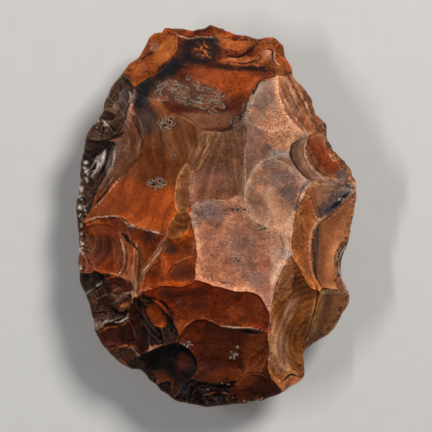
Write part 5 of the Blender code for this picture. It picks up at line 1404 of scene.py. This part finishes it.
class Paint:
    """Colours of every corner of every face, so that a scar's colours stop at its ridge."""

    def __init__(self, points, faces, owner, scars, looks):
        self.points = points
        self.corners = faces.ravel()
        self.owner = np.repeat(owner, 3)
        self.names = [scar.name for scar in scars]
        places = points[self.corners]
        base = LOOKS["plateau"]
        self.colours = np.tile(linear(base.near), (len(self.corners), 1))
        drift = 0.28 * fractal(points, 7.0, SEED + 33)[self.corners]
        mottle = 0.8 * fractal(points, 2.2, SEED + 38, 3) + 0.8 * fractal(points, 0.9, SEED + 39, 2)
        mottle = mottle[self.corners]
        strength = np.full(len(self.corners), base.mottle)
        cloud = smooth_step(-0.15, 0.55, fractal(points, 6.0, SEED + 34))[self.corners]
        flecks = smooth_step(0.0, 0.5, fractal(points, 3.0, SEED + 42, 3))[self.corners]
        self.colours = blend(self.colours, base.tint, base.cloud * cloud)
        self.colours = blend(self.colours, FLECK, base.flecks * flecks)
        for index, scar in enumerate(scars):
            mine = np.flatnonzero(self.owner == index)
            if len(mine) == 0:
                continue
            kind = looks[index]
            strength[mine] = kind.mottle
            away = np.hypot(*(places[mine] - np.array(scar.strike, float)).T)
            share = (away - away.min()) / max(away.max() - away.min(), 1e-6)
            share = np.clip(share + drift[mine], 0.0, 1.0)[:, None]
            own = linear(kind.near) * (1 - share) + linear(kind.far) * share
            own = blend(own, kind.tint, kind.cloud * cloud[mine])
            self.colours[mine] = blend(own, FLECK, kind.flecks * flecks[mine])
        self.colours *= np.exp((strength * mottle)[:, None] * SHADE_HUE)

    def kept_to(self, names):
        """1 on the scars of these names and 0 elsewhere; the plateau is where no scar is."""
        if not names:
            return np.ones(len(self.owner))
        kept = np.zeros(len(self.owner), bool)
        for index, name in enumerate(self.names):
            if name in names:
                kept |= self.owner == index
        if "plateau" in names:
            kept |= self.owner < 0
        return kept.astype(float)

    def lay(self, colour, amount, names=()):
        """Lay a colour over the points by the amount at each, on the named scars only."""
        self.colours = blend(self.colours, colour, amount[self.corners] * self.kept_to(names))

    def scale(self, factor):
        """Make the points lighter or darker by the factor at each."""
        self.colours *= np.exp(np.log(factor)[self.corners][:, None] * SHADE_HUE)

    def patches_and_strokes(self):
        for number, patch in enumerate(PATCHES):
            amount = in_patch(self.points, patch.middle, patch.size, patch.turn, seed=100 + number)
            self.lay(patch.colour, patch.strength * amount, patch.scars)
        for number, stroke in enumerate(STROKES):
            colour, strength, _ = STROKE_KINDS[stroke.kind]
            amount = stroke_amount(self.points, stroke, number)
            self.lay(colour, strength * amount, stroke.scars)

    def spots(self, places):
        for group, x, y, radius, lit in places:
            near, offset = around(self.points, (x, y), radius)
            away = np.hypot(*offset.T) / radius
            facing = np.cos(np.arctan2(offset[:, 1], offset[:, 0]) - lit)
            amount = np.zeros(len(self.points))
            amount[near] = 0.85 * np.exp(-(away / 0.8) ** 2)
            rim = np.zeros(len(self.points))
            rim[near] = (0.28 + 0.42 * facing) * np.exp(-((away - 1.2) / 0.35) ** 2)
            touched = np.flatnonzero(amount[self.corners] + rim[self.corners] > 0.01)
            corners = self.corners[touched]
            own = self.colours[touched]
            if group.rim:
                own = blend(own, group.rim, rim[corners])
            self.colours[touched] = blend(own, group.colour, amount[corners])

    def fossil(self):
        outline, body = fossil_relief(self.points)
        warm = smooth_step(-0.3, 0.3, fractal(self.points, 3.0, SEED + 37, 2))
        between = in_patch(self.points, *FOSSIL, soft=0.25) * (1 - body)
        self.lay((62, 34, 24), 0.45 * between, ("fossil basin",))
        self.lay((60, 52, 44), 0.55 * body * (1 - warm), ("fossil basin",))
        self.lay((164, 84, 48), 0.5 * body * warm, ("fossil basin",))
        self.lay((132, 128, 110), 0.8 * outline, ("fossil basin",))

    def wear_and_painted_light(self, bend, fullness, edge, from_edge):
        """Arrises pale from wear and painted highlight; painted shade in hollows and at each step's
        foot.
        """
        patchy = smooth_step(-0.25, 0.45, fractal(self.points, 4.0, SEED + 35, 3))
        # Pale on the arrises: partly wear, partly painted highlight.
        convex = smooth_step(0.006, 0.05, bend) * edge * (0.15 + 0.85 * patchy)
        # Painted shade in the hollows and along the foot of each step.
        concave = smooth_step(0.006, 0.05, -bend)
        foot = np.exp(-((fullness - 0.06) / 0.05) ** 2) * (1 - patchy)
        painted_shade = np.minimum(1.0, 0.25 + 1.2 * edge) * (0.9 * concave + 0.8 * foot)
        self.scale((1.0 + 0.7 * convex) * np.exp(-painted_shade))
        self.lay((214, 170, 138), 0.12 * convex)
        self.lay((206, 156, 118), 0.15 * (1.0 - smooth_step(0.0, 0.7, from_edge)))


# ---------------------------------------------------------------- mesh
class Network:
    """Points and the lines between them, which the triangles of a face must follow."""

    def __init__(self, rim, spacing):
        self.spacing = spacing
        self.points = [tuple(point) for point in rim]
        self.rim_size = len(rim)
        self.lines = [(index, (index + 1) % len(rim)) for index in range(len(rim))]
        self.cells = {}
        for index in range(len(rim)):
            self.remember(index)

    def cell(self, point):
        return int(math.floor(point[0] / self.spacing)), int(math.floor(point[1] / self.spacing))

    def remember(self, index):
        self.cells.setdefault(self.cell(self.points[index]), []).append(index)

    def nearest(self, point):
        """Index of and distance to the nearest point, looking about two cells away."""
        column, row = self.cell(point)
        best, gap = None, math.inf
        for i in range(column - 2, column + 3):
            for j in range(row - 2, row + 3):
                for index in self.cells.get((i, j), ()):
                    away = math.dist(self.points[index], point)
                    if away < gap:
                        best, gap = index, away
        return best, gap

    def add_loop(self, loop, shown):
        """Add the shown stretches of a loop; their ends are tied to the lines already there."""
        found = [self.nearest(point) for point in loop]
        free = [show and gap > LINE_ROOM * self.spacing for show, (_, gap) in zip(shown, found)]
        if not any(free):
            return
        count = len(loop)
        begin = free.index(False) if not all(free) else 0
        previous = None
        fresh = []
        for step in range(count + 1):
            here = (begin + step) % count
            if free[here] and step < count:
                index = len(self.points)
                self.points.append(tuple(loop[here]))
                fresh.append(index)
                if previous is not None:
                    self.lines.append((previous, index))
                previous = index
                continue
            if step == count and all(free):
                self.lines.append((previous, fresh[0]))
                break
            tie, gap = found[here]
            anchor = tie if tie is not None and gap < TIE_REACH * self.spacing else None
            if previous is not None and previous in fresh and anchor is not None:
                self.lines.append((previous, anchor))
            previous = anchor
        for index in fresh:
            self.remember(index)

    def fill(self, rim, areas):
        """Add evenly spaced points where the lines leave room, closer together in the areas."""
        low, high = rim.min(axis=0), rim.max(axis=0)
        for spacing, masks in ((DETAIL_SPACING, areas), (self.spacing, None)):
            row_step = spacing * math.sqrt(0.75)
            rows = np.arange(int((high[1] - low[1]) / row_step) + 1)
            columns = np.arange(int((high[0] - low[0]) / spacing) + 1)
            column_grid, row_grid = np.meshgrid(columns, rows)
            grid = np.column_stack([
                low[0] + (column_grid + 0.5 * (row_grid % 2)).ravel() * spacing,
                low[1] + row_grid.ravel() * row_step])
            grid = grid[inside(grid, rim)]
            if masks is not None:
                wanted = np.zeros(len(grid), bool)
                for middle, size, turn in masks:
                    wanted |= in_patch(grid, middle, size, turn, soft=0.05, wander=0.0) > 0.5
                grid = grid[wanted]
            fresh = [point for point in grid if self.nearest(point)[1] > FILL_ROOM * spacing]
            for point in fresh:
                self.points.append(tuple(point))
                if masks is not None:
                    self.remember(len(self.points) - 1)

    def triangles(self):
        """Constrained Delaunay triangles within the rim, and which of their points are on it."""
        rim_face = list(range(self.rim_size))
        result = delaunay_2d_cdt(self.points, self.lines, [rim_face], 1, 1e-5)
        places, _, faces, sources = result[:4]
        points = np.array([tuple(place) for place in places])
        rim_place = {}
        for index, origin in enumerate(sources):
            for source in origin:
                if source < self.rim_size:
                    rim_place[index] = source
        return points, np.array([tuple(face) for face in faces]), rim_place


def face_network(rim, scars, spacing, areas):
    """Network of a face: its rim, what shows of each scar's outline, and even filling."""
    network = Network(rim, spacing)
    loops = [ragged(smooth_loop(scar.outline, spacing)) for scar in scars]
    ends = np.cumsum([len(loop) for loop in loops])
    every = np.vstack(loops)
    within_rim = inside(every, rim)
    owner = owners(every, loops)
    for position in range(len(loops) - 1, -1, -1):
        stretch = slice(ends[position] - len(loops[position]), ends[position])
        shown = within_rim[stretch] & (owner[stretch] <= position)
        network.add_loop(loops[position], shown)
    network.fill(rim, areas)
    return network


def detail_areas():
    """Middle, half size and turn of the areas that need closer points."""
    areas = []
    for group in SPOT_GROUPS:
        if group.sunk >= 0.2:
            length, breadth = group.spread
            areas.append(Area(group.middle, (length + 0.8, breadth + 0.8), 0.0))
    length, breadth = FOSSIL.size
    areas.append(Area(FOSSIL.middle, (length + 1.5, breadth + 1.2), FOSSIL.turn))
    return areas


class FineFace:
    """One face of the visual mesh: its points and triangles, and what they look like."""

    def __init__(self, axe, side, spacing, spots):
        self.side = side
        self.spots = spots
        self.face = axe.faces[side]
        sole = Scar("sole", 0.0, 0.0, (0.0, 80.0), sole_outline())
        outlined = self.face.scars + ([] if side == 0 else [sole])
        network = face_network(axe.rim, outlined, spacing, detail_areas() * (1 - side))
        self.plan, self.corners, self.rim_place = network.triangles()
        height, self.fullness, self.from_edge = axe.height(self.plan, side)
        self.looks = scar_looks(self.face, axe.main_count[side])
        self.owner = owners(self.plan, self.face.loops)
        lift, self.bands = relief(self.plan, self.fullness, self.owner, self.face.scars, self.looks)
        self.height = np.maximum(height + self.detailed(lift), -LOWER_DEPTH)

    def detailed(self, lift):
        """The relief with the small marks of this face, fading out towards the cutting edge."""
        if self.side == 0:
            lift = lift + spot_relief(self.plan, self.spots) + stroke_relief(self.plan)
            lift = lift + 0.2 * fossil_relief(self.plan)[0]
        lift = lift * smooth_step(0.0, 1.2, self.from_edge)
        if self.side == 1:
            on_sole = inside(self.plan, smooth_loop(sole_outline(), PROBE_SPACING))
            lift = np.where(on_sole, 0.0, -lift)
        return lift

    def look_values(self, field):
        """One field of the look at each point; where no scar is, the plateau's."""
        kinds = self.looks + [LOOKS["plateau"]]
        return np.array([getattr(kind, field) for kind in kinds])[self.owner]

    def painted(self):
        """Colour of every corner of every triangle."""
        outward = (1 - 2 * self.side) * self.height
        bend = outward - neighbour_mean(outward, self.corners)
        bend[self.from_edge < 0.3] = 0.0
        swell = outward - neighbour_mean(outward, self.corners, SWELL_ROUNDS)
        swell = swell * smooth_step(1.0, 5.0, self.from_edge)
        owner = owners(self.plan[self.corners].mean(axis=1), self.face.loops)
        paint = Paint(self.plan, self.corners, owner, self.face.scars, self.looks)
        if self.side == 0:
            paint.patches_and_strokes()
            paint.fossil()
        # The swell term is painted shade: broad swells are made lighter and broad hollows darker.
        paint.scale(np.exp(self.bands + 0.45 * np.clip(swell / 0.25, -1.5, 1.5)))
        if self.side == 0:
            paint.spots(self.spots)
        paint.wear_and_painted_light(bend, self.fullness, self.look_values("edge"), self.from_edge)
        return paint.colours.reshape(-1, 3, 3)


def flint_piece(vertices, faces, colours, values):
    """Object of a mesh, with a colour for every corner and the named values for every point."""
    mesh = bpy.data.meshes.new("hand_axe_flint")
    mesh.from_pydata(vertices.tolist(), [], faces.tolist())
    layer = mesh.color_attributes.new("paint", "FLOAT_COLOR", "CORNER")
    every = np.clip(colours.reshape(-1, 3), 0.0, 1.0)
    layer.data.foreach_set("color", np.column_stack([every, np.ones(len(every))]).ravel())
    for name, amounts in values.items():
        layer = mesh.attributes.new(name, "FLOAT", "POINT")
        layer.data.foreach_set("value", np.array(amounts, float))
    mesh.shade_smooth()
    mesh.set_sharp_from_angle(angle=math.radians(SHARP_ANGLE))
    piece = bpy.data.objects.new("hand_axe_flint", mesh)
    bpy.context.scene.collection.objects.link(piece)
    return piece


def hand_axe():
    """The visual hand axe, with its paint and gloss as attributes."""
    axe = Axe()
    spots = spot_places()
    vertices = [(x, y, z) for (x, y), z in zip(axe.rim, axe.rim_height)]
    gloss, speckle = ([0.5] * len(vertices) for _ in range(2))
    faces, colours = [], []
    for side, spacing in enumerate((UPPER_SPACING, LOWER_SPACING)):
        face = FineFace(axe, side, spacing, spots)
        colours.append(face.painted())
        shine = face.look_values("gloss")
        uneven = face.look_values("mottle") * (1.2 - shine)
        numbers = np.empty(len(face.plan), int)
        for index, (x, y) in enumerate(face.plan):
            if index in face.rim_place:
                numbers[index] = face.rim_place[index]
                continue
            numbers[index] = len(vertices)
            vertices.append((x, y, face.height[index]))
            gloss.append(shine[index])
            speckle.append(uneven[index])
        faces.append(numbers[face.corners])
    # Seen from above, the underside's triangles have to run the other way round.
    faces[1] = faces[1][:, ::-1]
    colours[1] = colours[1][:, ::-1]
    centre = 0.5 * (axe.rim.min(axis=0) + axe.rim.max(axis=0))
    placed = (np.array(vertices) - (*centre, -LOWER_DEPTH)) * MM
    values = {"gloss": gloss, "speckle": speckle}
    return flint_piece(placed, np.vstack(faces), np.vstack(colours), values)


# ---------------------------------------------------------------- materials
WEATHERED_INDEX = 1.15        # index of refraction of the dull, weathered skin


def flint_material():
    """Vitreous flint: painted per scar, with mottling, specks, fine grain and uneven gloss."""
    material = bpy.data.materials.new("flint")
    material.use_nodes = True
    tree = material.node_tree
    nodes, links = tree.nodes, tree.links
    shader = nodes["Principled BSDF"]
    shader.inputs["Metallic"].default_value = 0.0
    # Weathered flint reflects less than a fresh break, whose index is about 1.54.
    shader.inputs["IOR"].default_value = WEATHERED_INDEX
    shader.inputs["Specular IOR Level"].default_value = 1.0
    coordinates = nodes.new("ShaderNodeTexCoord")

    def noise(scale, detail, roughness=0.5):
        texture = nodes.new("ShaderNodeTexNoise")
        texture.inputs["Scale"].default_value = scale
        texture.inputs["Detail"].default_value = detail
        texture.inputs["Roughness"].default_value = roughness
        links.new(coordinates.outputs["Object"], texture.inputs["Vector"])
        return texture.outputs["Fac"]

    def remap(value, low, high, new_low, new_high):
        ranged = nodes.new("ShaderNodeMapRange")
        ranged.inputs["From Min"].default_value = low
        ranged.inputs["From Max"].default_value = high
        ranged.inputs["To Min"].default_value = new_low
        ranged.inputs["To Max"].default_value = new_high
        links.new(value, ranged.inputs["Value"])
        return ranged.outputs["Result"]

    def combine(operation, first, second):
        node = nodes.new("ShaderNodeMath")
        node.operation = operation
        for socket, value in zip(node.inputs, (first, second)):
            if isinstance(value, (int, float)):
                socket.default_value = value
            else:
                links.new(value, socket)
        return node.outputs["Value"]

    def attribute(name):
        node = nodes.new("ShaderNodeAttribute")
        node.attribute_name = name
        return node.outputs

    mottle = remap(noise(300, 6, 0.65), 0.3, 0.7, 0.66, 1.34)
    specks = remap(noise(1500, 3, 0.7), 0.36, 0.51, 0.42, 1.14)
    fine = remap(noise(3000, 2, 0.6), 0.35, 0.65, 0.72, 1.28)
    shade = combine("MULTIPLY", combine("MULTIPLY", mottle, specks), fine)
    speckle = combine("MULTIPLY", attribute("speckle")["Fac"], 1.3)
    shade = combine("ADD", 1.0, combine("MULTIPLY", speckle, combine("ADD", shade, -1.0)))
    scaled = nodes.new("ShaderNodeVectorMath")
    scaled.operation = "SCALE"
    links.new(attribute("paint")["Color"], scaled.inputs[0])
    links.new(shade, scaled.inputs["Scale"])
    links.new(scaled.outputs["Vector"], shader.inputs["Base Color"])

    even = remap(attribute("gloss")["Fac"], 0.0, 1.0, 0.66, 0.10)
    uneven = remap(noise(900, 4), 0.35, 0.65, -0.06, 0.08)
    links.new(combine("ADD", even, uneven), shader.inputs["Roughness"])

    bump = nodes.new("ShaderNodeBump")
    bump.inputs["Strength"].default_value = 0.8
    bump.inputs["Distance"].default_value = 0.0005
    grain = combine("ADD", noise(2400, 3, 0.6), combine("MULTIPLY", noise(900, 4), 1.2))
    links.new(grain, bump.inputs["Height"])
    links.new(bump.outputs["Normal"], shader.inputs["Normal"])
    return material


def floor_material():
    """Plain pale paper, with a barely visible grain."""
    material = bpy.data.materials.new("floor")
    material.use_nodes = True
    tree = material.node_tree
    shader = tree.nodes["Principled BSDF"]
    shader.inputs["Roughness"].default_value = 0.9
    grain = tree.nodes.new("ShaderNodeTexNoise")
    grain.inputs["Scale"].default_value = 400
    ramp = tree.nodes.new("ShaderNodeValToRGB")
    ramp.color_ramp.elements[0].color = (0.68, 0.67, 0.66, 1)
    ramp.color_ramp.elements[1].color = (0.72, 0.71, 0.70, 1)
    tree.links.new(grain.outputs["Fac"], ramp.inputs["Fac"])
    tree.links.new(ramp.outputs["Color"], shader.inputs["Base Color"])
    return material


# ---------------------------------------------------------------- stage
FLOOR_SIDE = 3.0              # metres
FLOOR_GAP = 0.0002            # metres that the floor lies below the sole
LENS, SENSOR = 200, 36        # millimetres: a long lens, so that the view is almost parallel
FRAME_SHARE = 1.1296          # side of the picture for each length of the axe


def look_at(obj, target):
    obj.rotation_euler = (Vector(target) - obj.location).to_track_quat("-Z", "Y").to_euler()


def area_light(name, place, size, power, colour=(1, 1, 1)):
    light = bpy.data.lights.new(name, "AREA")
    light.shape = "RECTANGLE"
    light.size, light.size_y = size
    light.energy = power
    light.color = colour
    lamp = bpy.data.objects.new(name, light)
    bpy.context.scene.collection.objects.link(lamp)
    lamp.location = place
    lamp.visible_camera = False
    look_at(lamp, (0, 0, 0.02))


def stage():
    scene = bpy.context.scene
    bpy.ops.mesh.primitive_plane_add(size=FLOOR_SIDE, location=(0, 0, -FLOOR_GAP))
    floor = bpy.context.object
    floor.name = "floor"
    floor.data.materials.append(floor_material())

    area_light("key_light", (0.46, 0.52, 0.78), (0.30, 0.30), 8.2, (1.0, 0.98, 0.95))
    area_light("left_light", (-0.60, -0.02, 0.72), (0.50, 0.04), 2.6)
    world = bpy.data.worlds.new("studio")
    world.use_nodes = True
    world.node_tree.nodes["Background"].inputs["Color"].default_value = (1, 1, 1, 1)
    world.node_tree.nodes["Background"].inputs["Strength"].default_value = 0.08
    scene.world = world
    scene.view_settings.view_transform = "Standard"

    # The view is straight down, and the axe takes up most of the frame.
    low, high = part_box("hand_axe")
    lens = bpy.data.cameras.new("camera")
    lens.lens = LENS
    lens.sensor_width = SENSOR
    camera = bpy.data.objects.new("camera", lens)
    scene.collection.objects.link(camera)
    frame_side = FRAME_SHARE * (high[1] - low[1])
    distance = frame_side * LENS / SENSOR
    camera.location = (0.0, 0.0, LOWER_DEPTH * MM + distance)
    lens.clip_end = 10
    scene.camera = camera


axe_piece = hand_axe()
axe_piece.data.materials.append(flint_material())
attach(axe_piece, "root")
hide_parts("hand_axe")
stage()
